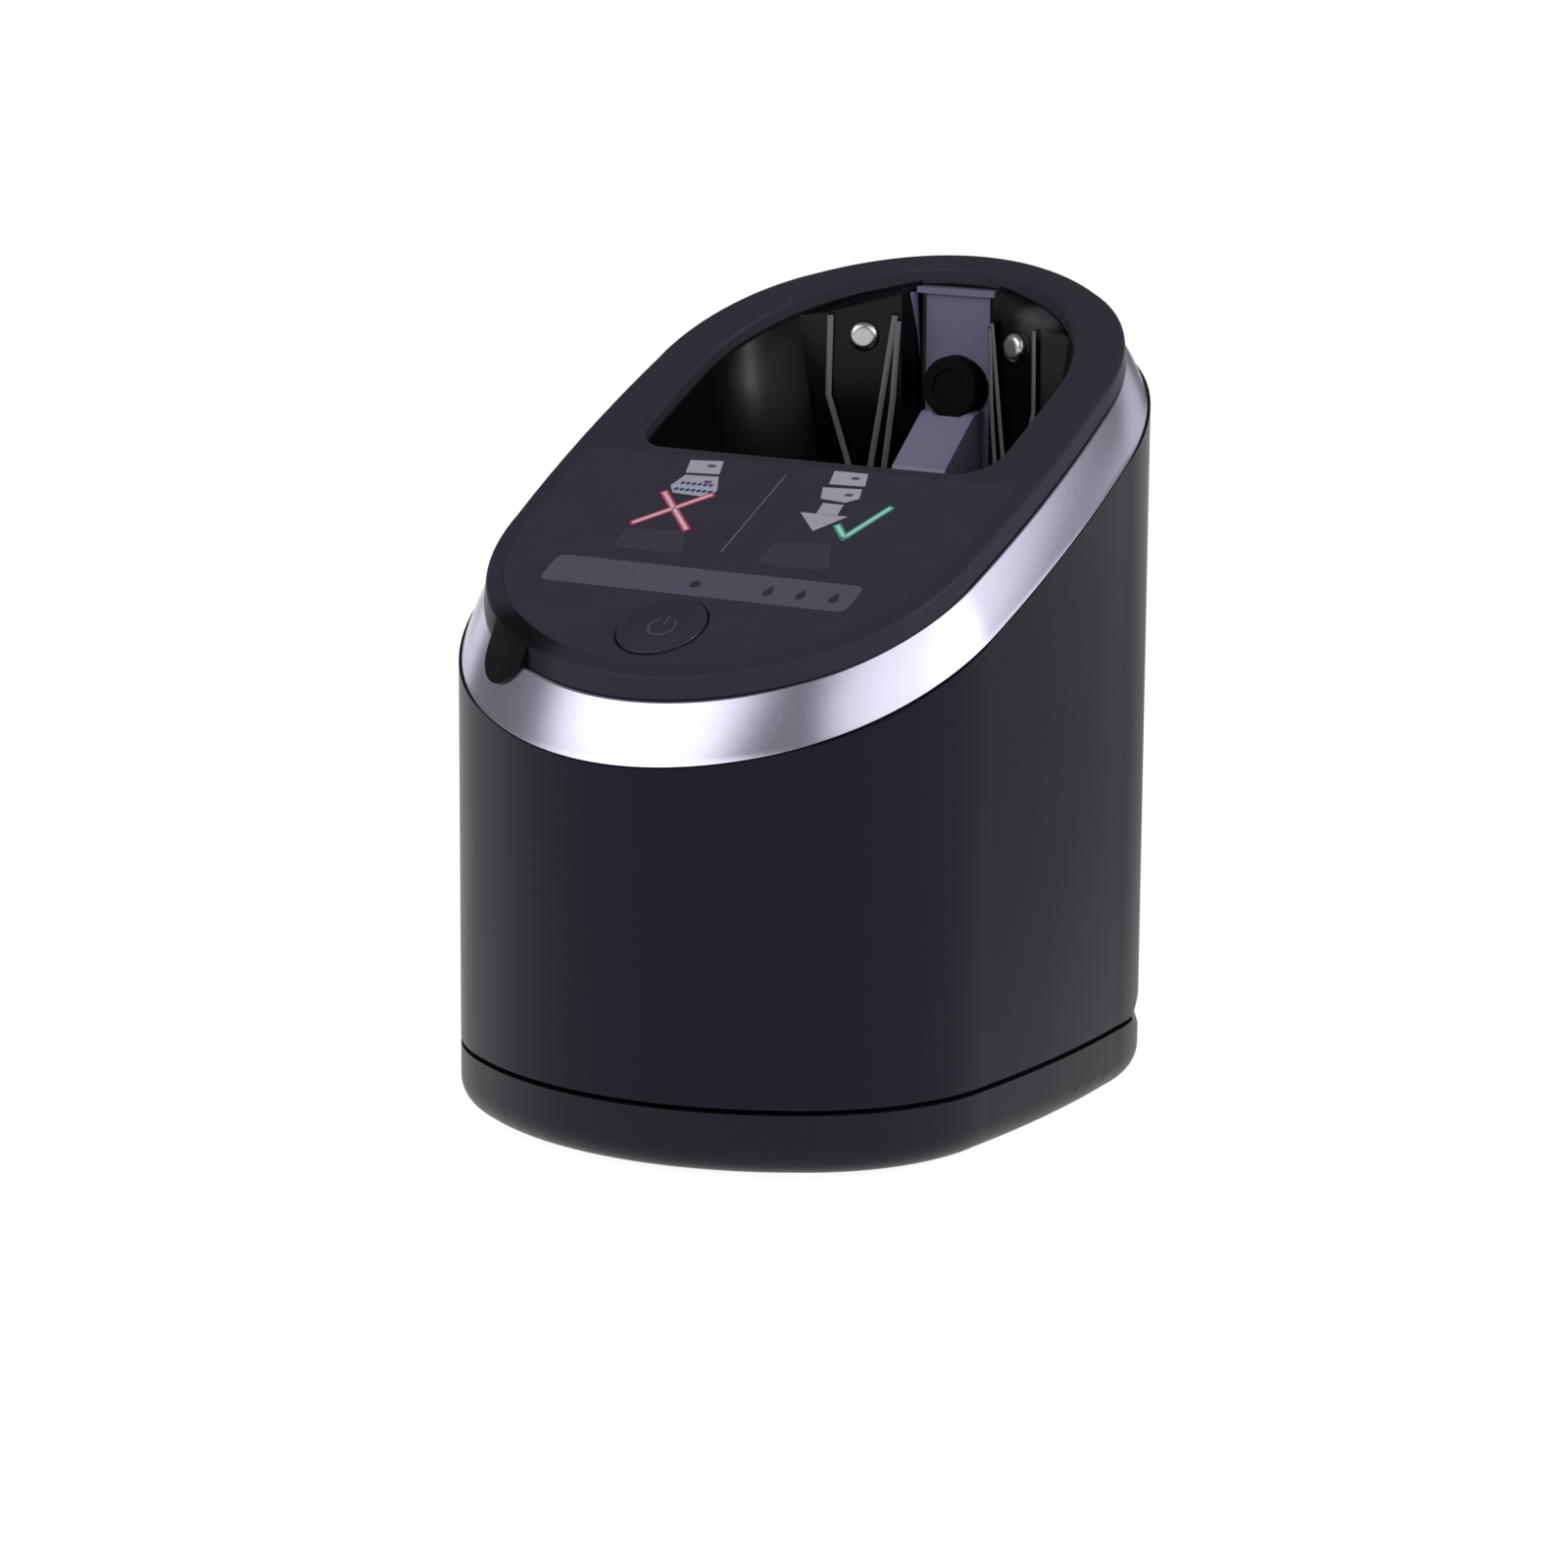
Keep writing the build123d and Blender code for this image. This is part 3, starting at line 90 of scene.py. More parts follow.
def makeCamera():
    data = bpy.data.cameras.new("photoCamera")
    data.lens = cameraLook["lens"]
    data.sensor_width = cameraLook["sensor"]
    data.clip_start = cameraLook["clip"]
    camera = bpy.data.objects.new("photoCamera", data)
    turn = Matrix((cameraLook["right"], cameraLook["up"], cameraLook["back"])).transposed()
    camera.matrix_world = Matrix.Translation(cameraLook["place"]) @ turn.to_4x4()
    bpy.context.scene.collection.objects.link(camera)
    bpy.context.scene.camera = camera


makeCamera()
print("camera placed")


# Shader helpers

def emptyTree(owner):  # the cleared node tree of a material, world or lamp
    owner.use_nodes = True
    owner.node_tree.nodes.clear()
    return owner.node_tree


def addNode(tree, kind, **values):  # a node with its inputs and settings given by name
    node = tree.nodes.new(kind)
    for key, value in values.items():
        if hasattr(node, key):
            setattr(node, key, value)
        else:
            node.inputs[key.replace("_", " ")].default_value = value
    return node


def feed(tree, value, socket):  # sets a number or a colour, or links an output
    if isinstance(value, tuple):
        socket.default_value = (*value, 1.0)
    elif isinstance(value, (int, float)):
        socket.default_value = value
    else:
        tree.links.new(value, socket)


def mathNode(tree, operation, *values):
    node = addNode(tree, "ShaderNodeMath", operation=operation)
    for slot, value in enumerate(values):
        feed(tree, value, node.inputs[slot])
    return node.outputs[0]


def spread(tree, value, low, high):  # takes a 0 to 1 value to a range
    node = addNode(tree, "ShaderNodeMapRange", To_Min=low, To_Max=high)
    tree.links.new(value, node.inputs["Value"])
    return node.outputs["Result"]


def ramp(tree, value, start, stop, kind="SMOOTHSTEP"):  # 0 at start, 1 at stop
    node = addNode(tree, "ShaderNodeMapRange", interpolation_type=kind, From_Min=start, From_Max=stop)
    tree.links.new(value, node.inputs["Value"])
    return node.outputs["Result"]


def rampRound(tree, place, centre, start, stop):  # a ramp over the distance from a centre, in metres
    gap = addNode(tree, "ShaderNodeVectorMath", operation="DISTANCE")
    tree.links.new(place, gap.inputs[0])
    gap.inputs[1].default_value = centre
    return ramp(tree, gap.outputs["Value"], start, stop)


def noiseAt(tree, place, scale, detail=2.0, roughness=0.5, stretch=None):
    noise = addNode(tree, "ShaderNodeTexNoise", Detail=detail, Roughness=roughness)
    if stretch:
        mapping = addNode(tree, "ShaderNodeMapping", Scale=stretch)
        tree.links.new(place, mapping.inputs["Vector"])
        place = mapping.outputs["Vector"]
    tree.links.new(place, noise.inputs["Vector"])
    feed(tree, scale, noise.inputs["Scale"])
    return noise.outputs["Fac"]


def blend(tree, first, second, firstShare, secondShare):
    return mathNode(tree, "ADD", mathNode(tree, "MULTIPLY", first, firstShare),
                    mathNode(tree, "MULTIPLY", second, secondShare))


def groupTree(name, takes, gives):  # an empty shader group with its sockets
    tree = bpy.data.node_groups.new(name, "ShaderNodeTree")
    tree.interface.new_socket("Place", in_out="INPUT", socket_type="NodeSocketVector")
    for label, value in takes.items():
        socket = tree.interface.new_socket(label, in_out="INPUT", socket_type="NodeSocketFloat")
        socket.default_value = value
    for label in gives:
        tree.interface.new_socket(label, in_out="OUTPUT", socket_type="NodeSocketFloat")
    return tree, tree.nodes.new("NodeGroupInput"), tree.nodes.new("NodeGroupOutput")


skinGrain = dict(coarse=0.035, fineHeight=0.7, coarseHeight=1.4, fineTone=0.6, coarseTone=0.4)


def makeGrainGroup():  # the fine spark-eroded skin of a moulded part
    tree, takes, gives = groupTree("mouldedGrain", dict(Grain=0.4), ("Height", "Tone"))
    place = takes.outputs["Place"]
    scale = mathNode(tree, "DIVIDE", 1.0 / mm, takes.outputs["Grain"])
    fine = noiseAt(tree, place, scale)
    coarse = noiseAt(tree, place, mathNode(tree, "MULTIPLY", scale, skinGrain["coarse"]), detail=1.0)
    height = blend(tree, fine, coarse, skinGrain["fineHeight"], skinGrain["coarseHeight"])
    tree.links.new(height, gives.inputs["Height"])
    tone = blend(tree, fine, coarse, skinGrain["fineTone"], skinGrain["coarseTone"])
    tree.links.new(tone, gives.inputs["Tone"])
    return tree


handling = dict(
    smudgeScale=26.0, wipeScale=60.0, wipeStretch=(1.0, 1.0, 0.18),
    speckScale=420.0, speckEdge=0.10, speckCore=0.02, patchScale=90.0, patchLow=0.56, patchHigh=0.72,
)


def makeHandledGroup():  # smudges, faint wiping lines and dust on a handled surface
    tree, takes, gives = groupTree("handledSurface", dict(Smudge=0.5, Dust=0.2), ("Smear", "Dusting"))
    place = takes.outputs["Place"]
    wide = noiseAt(tree, place, handling["smudgeScale"], detail=3.0, roughness=0.55)
    wiped = noiseAt(tree, place, handling["wipeScale"], detail=3.0, roughness=0.6,
                    stretch=handling["wipeStretch"])
    smear = mathNode(tree, "MULTIPLY", mathNode(tree, "ADD", wide, wiped), 0.5)
    tree.links.new(mathNode(tree, "MULTIPLY", smear, takes.outputs["Smudge"]), gives.inputs["Smear"])
    specks = addNode(tree, "ShaderNodeTexVoronoi", Scale=handling["speckScale"])
    tree.links.new(place, specks.inputs["Vector"])
    speck = ramp(tree, specks.outputs["Distance"], handling["speckEdge"], handling["speckCore"])
    patches = noiseAt(tree, place, handling["patchScale"])
    patch = ramp(tree, patches, handling["patchLow"], handling["patchHigh"], "LINEAR")
    dusting = mathNode(tree, "MULTIPLY", speck, patch)
    tree.links.new(mathNode(tree, "MULTIPLY", dusting, takes.outputs["Dust"]), gives.inputs["Dusting"])
    return tree


grainGroup = makeGrainGroup()
handledGroup = makeHandledGroup()


def startMaterial(name):
    material = bpy.data.materials.new(name)
    tree = emptyTree(material)
    out = tree.nodes.new("ShaderNodeOutputMaterial")
    surface = tree.nodes.new("ShaderNodeBsdfPrincipled")
    tree.links.new(surface.outputs["BSDF"], out.inputs["Surface"])
    place = tree.nodes.new("ShaderNodeTexCoord").outputs["Object"]
    return material, tree, surface, place


def useGroup(tree, group, place, **values):
    node = addNode(tree, "ShaderNodeGroup", node_tree=group)
    tree.links.new(place, node.inputs["Place"])
    for key, value in values.items():
        node.inputs[key].default_value = value
    return node


def bumpFrom(tree, height, depth):  # depth in millimetres
    bump = addNode(tree, "ShaderNodeBump", Strength=1.0, Distance=depth * mm)
    tree.links.new(height, bump.inputs["Height"])
    return bump.outputs["Normal"]


def mixColour(tree, amount, first, second):
    mix = addNode(tree, "ShaderNodeMix", data_type="RGBA")
    for slot, value in ((0, amount), (6, first), (7, second)):  # the factor and the two colour sockets
        feed(tree, value, mix.inputs[slot])
    return mix.outputs[2]


def lighter(colour, factor):
    return tuple(min(1.0, part * factor) for part in colour)


def surfaceFrom(tree, surface, shade, rough, normal=None):
    tree.links.new(shade, surface.inputs["Base Color"])
    tree.links.new(rough, surface.inputs["Roughness"])
    if normal:
        tree.links.new(normal, surface.inputs["Normal"])


moulded = dict(
    darker=0.82, paler=1.18, dustKeep=0.5, dustPale=0.16, grainRough=0.05, smearRough=0.24, coatRough=0.12,
)


def makeMoulded(name, colour, roughness=0.4, grain=0.4, depth=0.006, smudge=0.5, dust=0.2,
                specular=0.5, coat=0.0, tint=(1.0, 1.0, 1.0)):
    material, tree, surface, place = startMaterial(name)
    skin = useGroup(tree, grainGroup, place, Grain=grain)
    handled = useGroup(tree, handledGroup, place, Smudge=smudge, Dust=dust)
    tone = skin.outputs["Tone"]
    shade = mixColour(tree, tone, lighter(colour, moulded["darker"]), lighter(colour, moulded["paler"]))
    dusty = tuple(moulded["dustKeep"] * part + moulded["dustPale"] for part in colour)
    shade = mixColour(tree, handled.outputs["Dusting"], shade, dusty)
    ripple = spread(tree, tone, -moulded["grainRough"], moulded["grainRough"])
    rough = mathNode(tree, "ADD", handled.outputs["Smear"], ripple)
    least = roughness - moulded["smearRough"] / 2 * smudge
    rough = mathNode(tree, "MULTIPLY_ADD", rough, moulded["smearRough"], least)
    surfaceFrom(tree, surface, shade, rough, bumpFrom(tree, skin.outputs["Height"], depth))
    surface.inputs["Specular IOR Level"].default_value = specular
    surface.inputs["Specular Tint"].default_value = (*tint, 1.0)
    surface.inputs["Coat Weight"].default_value = coat
    surface.inputs["Coat Roughness"].default_value = moulded["coatRough"]
    return material


metal = dict(lineScale=1600.0, tarnished=0.45, lineRough=0.04, smearRough=0.05, smudge=1.0, dust=0.1)


def makeMetal(name, colour, roughness=0.2, lines=(1.0, 1.0, 1.0), lineDepth=0.001, tarnish=0.15):
    material, tree, surface, place = startMaterial(name)
    handled = useGroup(tree, handledGroup, place, Smudge=metal["smudge"], Dust=metal["dust"])
    smear = handled.outputs["Smear"]
    drawn = noiseAt(tree, place, metal["lineScale"], stretch=lines)
    dulled = mathNode(tree, "MULTIPLY", smear, tarnish)
    shade = mixColour(tree, dulled, colour, lighter(colour, metal["tarnished"]))
    lineRough = spread(tree, drawn, -metal["lineRough"], metal["lineRough"])
    smearRough = spread(tree, smear, -metal["smearRough"], metal["smearRough"])
    rough = mathNode(tree, "ADD", mathNode(tree, "ADD", lineRough, smearRough), roughness)
    surfaceFrom(tree, surface, shade, rough, bumpFrom(tree, drawn, lineDepth))
    surface.inputs["Metallic"].default_value = 1.0
    return material


laminate = dict(
    trackScale=190.0, gapWidth=0.06, trackLength=1.4, trackPitch=0.35, trackPaler=1.7, trackDepth=0.03,
    padScale=230.0, padScatter=0.35, padSize=0.16, rough=(0.28, 0.5), smudge=0.5, dust=0.3,
)


def makeLaminate(name, colour, copper):  # circuit board: mask over fine tracks, with bare pads
    material, tree, surface, place = startMaterial(name)
    handled = useGroup(tree, handledGroup, place, Smudge=laminate["smudge"], Dust=laminate["dust"])
    tracks = addNode(tree, "ShaderNodeTexBrick", Scale=laminate["trackScale"],
                     Mortar_Size=laminate["gapWidth"], Brick_Width=laminate["trackLength"],
                     Row_Height=laminate["trackPitch"])
    tree.links.new(place, tracks.inputs["Vector"])
    shade = mixColour(tree, tracks.outputs["Fac"], colour, lighter(colour, laminate["trackPaler"]))
    pads = addNode(tree, "ShaderNodeTexVoronoi", Scale=laminate["padScale"],
                   Randomness=laminate["padScatter"])
    tree.links.new(place, pads.inputs["Vector"])
    pad = mathNode(tree, "LESS_THAN", pads.outputs["Distance"], laminate["padSize"])
    shade = mixColour(tree, pad, shade, copper)
    rough = spread(tree, handled.outputs["Smear"], *laminate["rough"])
    surfaceFrom(tree, surface, shade, rough, bumpFrom(tree, tracks.outputs["Fac"], laminate["trackDepth"]))
    return material


pores = dict(scale=700.0, paintedPoreShade=0.45, paintedWallLight=1.3, rough=(0.8, 1.0), depth=0.5)


def makeFoam(name, colour):
    material, tree, surface, place = startMaterial(name)
    cells = addNode(tree, "ShaderNodeTexVoronoi", Scale=pores["scale"])
    tree.links.new(place, cells.inputs["Vector"])
    cell = cells.outputs["Distance"]
    # painted shade deep in each pore and painted light on the cell walls, following the bump
    shade = mixColour(tree, cell, lighter(colour, pores["paintedPoreShade"]), lighter(colour, pores["paintedWallLight"]))
    rough = spread(tree, cell, *pores["rough"])
    surfaceFrom(tree, surface, shade, rough, bumpFrom(tree, cell, pores["depth"]))
    return material


clear = dict(smeared=0.85, smoother=0.05, rougher=0.12, ior=1.49, smudge=1.0, dust=0.2)


def makeClear(name, colour, roughness=0.12, through=0.7):
    material, tree, surface, place = startMaterial(name)
    smear = useGroup(tree, handledGroup, place, Smudge=clear["smudge"], Dust=clear["dust"]).outputs["Smear"]
    shade = mixColour(tree, smear, colour, lighter(colour, clear["smeared"]))
    rough = spread(tree, smear, roughness - clear["smoother"], roughness + clear["rougher"])
    surfaceFrom(tree, surface, shade, rough)
    surface.inputs["Transmission Weight"].default_value = through
    surface.inputs["IOR"].default_value = clear["ior"]
    return material


rubber = dict(
    darker=0.7, paler=1.4, dusty=(0.18, 0.17, 0.16), rough=(0.62, 0.86), depth=0.03, specular=0.15,
    smudge=1.0, dust=0.3,
)


def makeRubber(name, colour, grain=0.6):
    material, tree, surface, place = startMaterial(name)
    skin = useGroup(tree, grainGroup, place, Grain=grain)
    handled = useGroup(tree, handledGroup, place, Smudge=rubber["smudge"], Dust=rubber["dust"])
    shade = mixColour(tree, skin.outputs["Tone"], lighter(colour, rubber["darker"]),
                      lighter(colour, rubber["paler"]))
    shade = mixColour(tree, handled.outputs["Dusting"], shade, rubber["dusty"])
    rough = spread(tree, handled.outputs["Smear"], *rubber["rough"])
    surfaceFrom(tree, surface, shade, rough, bumpFrom(tree, skin.outputs["Height"], rubber["depth"]))
    surface.inputs["Specular IOR Level"].default_value = rubber["specular"]
    return material


violet = (0.88, 0.80, 1.0)
looks = dict(  # the finish of every material slot in the record
    housing_plastic=makeMoulded("satinHousing", (0.0098, 0.0075, 0.0160), roughness=0.36, grain=0.35,
                                depth=0.004, dust=0.12, specular=0.17, tint=violet),
    base_plastic=makeMoulded("satinBase", (0.0075, 0.0062, 0.0100), roughness=0.40, grain=0.4,
                             depth=0.005, dust=0.25, specular=0.25, tint=violet),
    cap_plastic=makeMoulded("satinCap", (0.0370, 0.0325, 0.0490), roughness=0.42, grain=0.35,
                            depth=0.004, dust=0.2, specular=0.13, tint=violet),
    panel_plastic=makeMoulded("smoothPanel", (0.0345, 0.0290, 0.0520), roughness=0.36, grain=0.25,
                              depth=0.002, dust=0.3, specular=0.35, tint=violet),
    display_plastic=makeMoulded("smokedDisplay", (0.100, 0.088, 0.135), roughness=0.28, grain=0.3,
                                depth=0.001, dust=0.3, coat=0.2),
    button_plastic=makeMoulded("dishedButton", (0.0310, 0.0265, 0.0450), roughness=0.34, grain=0.3,
                               depth=0.002, dust=0.8, specular=0.35, tint=violet),
    basin_plastic=makeMoulded("basinBlack", (0.0020, 0.0016, 0.0026), roughness=0.24, grain=0.45,
                              depth=0.002, dust=0.10, specular=0.22),
    spine_plastic=makeMoulded("spineGrey", (0.175, 0.155, 0.255), roughness=0.42, grain=0.4,
                              depth=0.004, dust=0.1),
    cartridge_plastic=makeMoulded("cartridgeWhite", (0.55, 0.57, 0.60), roughness=0.35, grain=0.5,
                                  smudge=0.8),
    part_plastic=makeMoulded("componentBlack", (0.030, 0.030, 0.034), roughness=0.45, grain=0.5),
    led_plastic=makeMoulded("lampEpoxy", (0.70, 0.72, 0.66), roughness=0.25, depth=0.002),
    pump_plastic=makeMoulded("pumpGrey", (0.20, 0.21, 0.22), roughness=0.5, grain=0.5, depth=0.01),
    seal_rubber=makeRubber("softRubber", (0.0030, 0.0028, 0.0034)),
    satin_chrome=makeMetal("brightChrome", (0.585, 0.565, 0.69), roughness=0.25, lineDepth=0.0004,
                           tarnish=0.10),
    contact_metal=makeMetal("nickelStud", (0.60, 0.59, 0.60), roughness=0.27, lines=(1.0, 1.0, 0.3),
                            lineDepth=0.0006),
    spring_steel=makeMetal("springWire", (0.62, 0.62, 0.64), roughness=0.26, lines=(1.0, 1.0, 4.0),
                           lineDepth=0.002),
    rod_steel=makeMetal("groundRod", (0.66, 0.66, 0.68), roughness=0.18, lines=(1.0, 1.0, 6.0),
                        lineDepth=0.002),
    screw_steel=makeMetal("screwZinc", (0.60, 0.60, 0.58), roughness=0.32, tarnish=0.4),
    motor_steel=makeMetal("motorCan", (0.56, 0.57, 0.58), roughness=0.30, lines=(1.0, 1.0, 0.2),
                          lineDepth=0.003, tarnish=0.3),
    pin_brass=makeMetal("pinBrass", (0.72, 0.55, 0.28), roughness=0.22, tarnish=0.3),
    board_laminate=makeLaminate("boardGreen", (0.010, 0.075, 0.030), (0.62, 0.50, 0.30)),
    clear_plastic=makeClear("lightGuideClear", (0.92, 0.94, 0.95)),
    hose_silicone=makeClear("hoseSilicone", (0.80, 0.82, 0.80), roughness=0.3, through=0.45),
    filter_foam=makeFoam("filterFoam", (0.30, 0.33, 0.40)),
)

paintedSpots = dict(  # painted shade round the tab, painted light on the cradle's right crown and on the ramp
    cap_plastic=dict(place=(-29.5, -58.0, 90.0), near=7.0, far=17.0, shade=(0.0012, 0.0009, 0.0022)),
    basin_plastic=dict(place=(22.5, 51.0, 146.5), near=2.5, far=7.0, shade=(0.070, 0.067, 0.076)),
    spine_plastic=dict(place=(-1.0, 51.0, 116.0), near=8.0, far=16.0, shade=(0.265, 0.240, 0.365)),
)


def paintShadeAndLightNear(material, paintedSpot):  # a painted patch, darker for shade and lighter for light, that fades out round a place
    tree = material.node_tree
    surface = next(node for node in tree.nodes if node.type == "BSDF_PRINCIPLED")
    place = next(node for node in tree.nodes if node.type == "TEX_COORD").outputs["Object"]
    centre = [part * mm for part in paintedSpot["place"]]
    away = rampRound(tree, place, centre, paintedSpot["near"] * mm, paintedSpot["far"] * mm)
    plain = surface.inputs["Base Color"].links[0].from_socket
    tree.links.new(mixColour(tree, away, paintedSpot["shade"], plain), surface.inputs["Base Color"])


for slot, paintedSpot in paintedSpots.items():
    paintShadeAndLightNear(looks[slot], paintedSpot)
for entry in frame["record"]["subparts"]:
    node = bpy.data.objects[entry["node"]]
    for holder in node.material_slots:
        holder.material = looks[entry["material_slot"]]
print("materials made and given to the CAD nodes")


# Mesh helpers

def joinRows(shape, rows):  # quads between closed rows of corners
    for before, after in zip(rows, rows[1:]):
        for step in range(len(before)):
            other = (step + 1) % len(before)
            shape.faces.new((before[step], before[other], after[other], after[step]))


def closeTube(shape, rows):  # quads along the rows and a face over each end
    joinRows(shape, rows)
    shape.faces.new(rows[0])
    shape.faces.new(list(reversed(rows[-1])))


def linkMesh(name, shape, closed=True):  # a new object, its faces turned outwards where it is closed
    if closed:
        bmesh.ops.recalc_face_normals(shape, faces=shape.faces)
    mesh = bpy.data.meshes.new(name)
    shape.to_mesh(mesh)
    shape.free()
    piece = bpy.data.objects.new(name, mesh)
    bpy.context.scene.collection.objects.link(piece)
    return piece


def finishMesh(name, shape, material, body, smoothAngle=None):
    piece = linkMesh(name, shape)
    piece.data.materials.append(material)
    if smoothAngle:
        piece.data.shade_smooth()
        piece.data.set_sharp_from_angle(angle=math.radians(smoothAngle))
    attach(piece, body)
    return piece


def copyNode(name):  # a merged mesh copy of a CAD node, to be reshaped
    shape = bmesh.new()
    shape.from_mesh(bpy.data.objects[name].data)
    bmesh.ops.remove_doubles(shape, verts=shape.verts, dist=mergeDistance)
    return shape


# Chrome collar: a band of rings round the stand's plan, which is made of three arcs in each quarter

collar = dict(
    crown=0.22, edge=0.42, lowEdge=0.12, edgeFlat=0.7, edgeShift=0.1, hem=0.02, lip=0.7, spigot=5.0,
    clearance=0.1, steps=9, arcSteps=36, smooth=50,
)


def ovalOutline(stepsPerArc):  # centre, radius and direction of each point round the stand's plan
    sideCentre = Vector((stand["halfWidth"] - stand["sideRadius"], 0))
    endCentre = Vector((0, stand["halfDepth"] - stand["endRadius"]))
    fromSide = stand["sideRadius"] - stand["cornerRadius"]
    fromEnd = stand["endRadius"] - stand["cornerRadius"]
    link = endCentre - sideCentre
    gap = link.length
    along = (fromSide**2 - fromEnd**2 + gap**2) / (2 * gap)
    across = math.sqrt(fromSide**2 - along**2)
    unit = link / gap
    corner = sideCentre + unit * along + Vector((-unit.y, unit.x)) * across
    sideTurn = math.atan2(corner.y - sideCentre.y, corner.x - sideCentre.x)
    endTurn = math.atan2(corner.y - endCentre.y, corner.x - endCentre.x)
    quarter = [(sideCentre, stand["sideRadius"], 0.0, sideTurn)]
    quarter.append((corner, stand["cornerRadius"], sideTurn, endTurn))
    quarter.append((endCentre, stand["endRadius"], endTurn, math.pi / 2))
    points = []
    for centre, radius, start, stop in quarter:
        for step in range(stepsPerArc):
            points.append((centre, radius, start + (stop - start) * step / stepsPerArc))
    points.append((endCentre, stand["endRadius"], math.pi / 2))
    for centre, radius, turn in reversed(points[:-1]):
        points.append((Vector((-centre.x, centre.y)), radius, math.pi - turn))
    for centre, radius, turn in reversed(points[1:-1]):
        points.append((Vector((centre.x, -centre.y)), radius, -turn))
    return points


def collarSection():  # closed list of (inset, height over the collar's low plane)
    inset, rise = stand["collarInset"], stand["collarRise"]
    edge, lowEdge, flat = collar["edge"], collar["lowEdge"], collar["edgeFlat"]
    inner, inside = inset + collar["lip"], stand["wall"] + collar["clearance"]
    turns = [math.radians(angle) for angle in (0, 30, 60, 90)]  # of the two rounded edges
    section = [(lowEdge * (1 - math.sin(turn)), lowEdge * (1 - math.cos(turn)) * flat) for turn in turns]
    shares = [step / collar["steps"] for step in range(1, collar["steps"])]
    for share in [collar["hem"], *shares, 1 - collar["hem"]]:  # crowned face, with a close ring at each edge
        section.append((inset * share - collar["crown"] * 4 * share * (1 - share), rise * share))
    for turn in turns:
        out = inset - collar["edgeShift"] + edge * (1 - math.cos(turn))
        section.append((out, rise - edge * flat * (1 - math.sin(turn))))
    section += [(inner, rise), (inner, -collar["spigot"]), (inside, -collar["spigot"]), (inside, 0)]
    return section


def makeCollar():
    shape = bmesh.new()
    outline = ovalOutline(collar["arcSteps"])
    rings = []
    for inset, height in collarSection():
        ring = []
        for centre, radius, turn in outline:
            x = centre.x + (radius - inset) * math.cos(turn)
            y = centre.y + (radius - inset) * math.sin(turn)
            z = stand["collarLow"] + height + y * slope
            ring.append(shape.verts.new((x * mm, y * mm, z * mm)))
        rings.append(ring)
    joinRows(shape, rings + rings[:1])
    ring = finishMesh("collarBand", shape, looks["satin_chrome"], "housing", collar["smooth"])
    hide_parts("chrome_collar")


makeCollar()
print("collar band made")


# The basin's side walls lean in towards the floor, so a copy of the CAD basin is drawn in

basin = dict(
    lean=12.0, halfWidth=39.2, halfDepth=35.1, middle=24.7, outside=1.002, lip=5.2, still=20.0, blend=15.0,
    smooth=35,
)


def makeBasin():
    shape = copyNode("well_basin")
    for corner in shape.verts:
        x, y, z = corner.co / mm
        out = (x / basin["halfWidth"])**2 + (max(y - basin["middle"], 0) / basin["halfDepth"])**2
        drop = deckHeight + y * slope - basin["lip"] - z
        if out > basin["outside"] or drop < 0:
            continue
        share = min(max((abs(x) - basin["still"]) / basin["blend"], 0.0), 1.0)
        draw = math.tan(math.radians(basin["lean"])) * drop * share * share * (3 - 2 * share)
        corner.co.x -= math.copysign(draw, x) * mm
    liner = finishMesh("basinLiner", shape, looks["basin_plastic"], "housing", basin["smooth"])
    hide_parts("well_basin")


# Painted highlights on the cradle's guide ribs: thin pale strips along each rib's edge stand in for the light
# it catches; each has its top, and its distance across the cheek at three heights

cradle = dict(
    across=17.2, depth=49.995, turn=22.0, proud=1.1, sunk=0.02, width=1.2, film=0.16, kink=128.0, foot=111.0,
    profile=((-0.5, 0.0), (-0.25, 1.0), (0.25, 1.0), (0.5, 0.0)), smooth=60,
    ribs=((143.9, (6.6, 6.9, 1.8)), (144.1, (-6.3, -3.9, -1.2)), (143.0, (-7.0, -6.1, -4.1))),
)


def cheekPoint(sign, across, depth, z):  # a place on a contact's cheek, depth into it
    turn = math.radians(-sign * cradle["turn"])
    x = sign * cradle["across"] + across * math.cos(turn) - depth * math.sin(turn)
    return Vector((x, cradle["depth"] + across * math.sin(turn) + depth * math.cos(turn), z)) * mm


def makeRibHighlights():
    shape = bmesh.new()
    for sign in (-1, 1):
        for top, acrossAll in cradle["ribs"]:
            rows = []
            for across, z in zip(acrossAll, (top, cradle["kink"], cradle["foot"])):
                row = []
                for side, lift in cradle["profile"]:
                    depth = -cradle["proud"] + cradle["sunk"] - cradle["film"] * lift
                    place = cheekPoint(sign, sign * across + side * cradle["width"], depth, z)
                    row.append(shape.verts.new(place))
                rows.append(row)
            closeTube(shape, rows)
    edges = finishMesh("ribEdges", shape, ribHighlightGrey, "housing", cradle["smooth"])


# Trim on the spine: a dark oval seat round the boss, and wedges from the ledge down the cradle's inner ends

spine = dict(
    face=57.4, seatHalf=7.15, seatRise=6.3, seatZ=130.0, seatProud=0.25, seatSunk=0.2, seatSteps=40,
    wedgeDeep=0.12,
    wedges=[((9.57, 54.9, 148.5), (8.95, 56.9, 148.5), (8.95, 56.9, 140.4)),
            ((8.95, 56.9, 148.5), (8.95, 58.2, 135.0), (8.95, 56.9, 140.4))],
)


def makePrism(name, pairs, material):  # each pair is a front and a back outline
    shape = bmesh.new()
    for pair in pairs:
        closeTube(shape, [[shape.verts.new(Vector(place) * mm) for place in outline] for outline in pair])
    piece = finishMesh(name, shape, material, "housing")


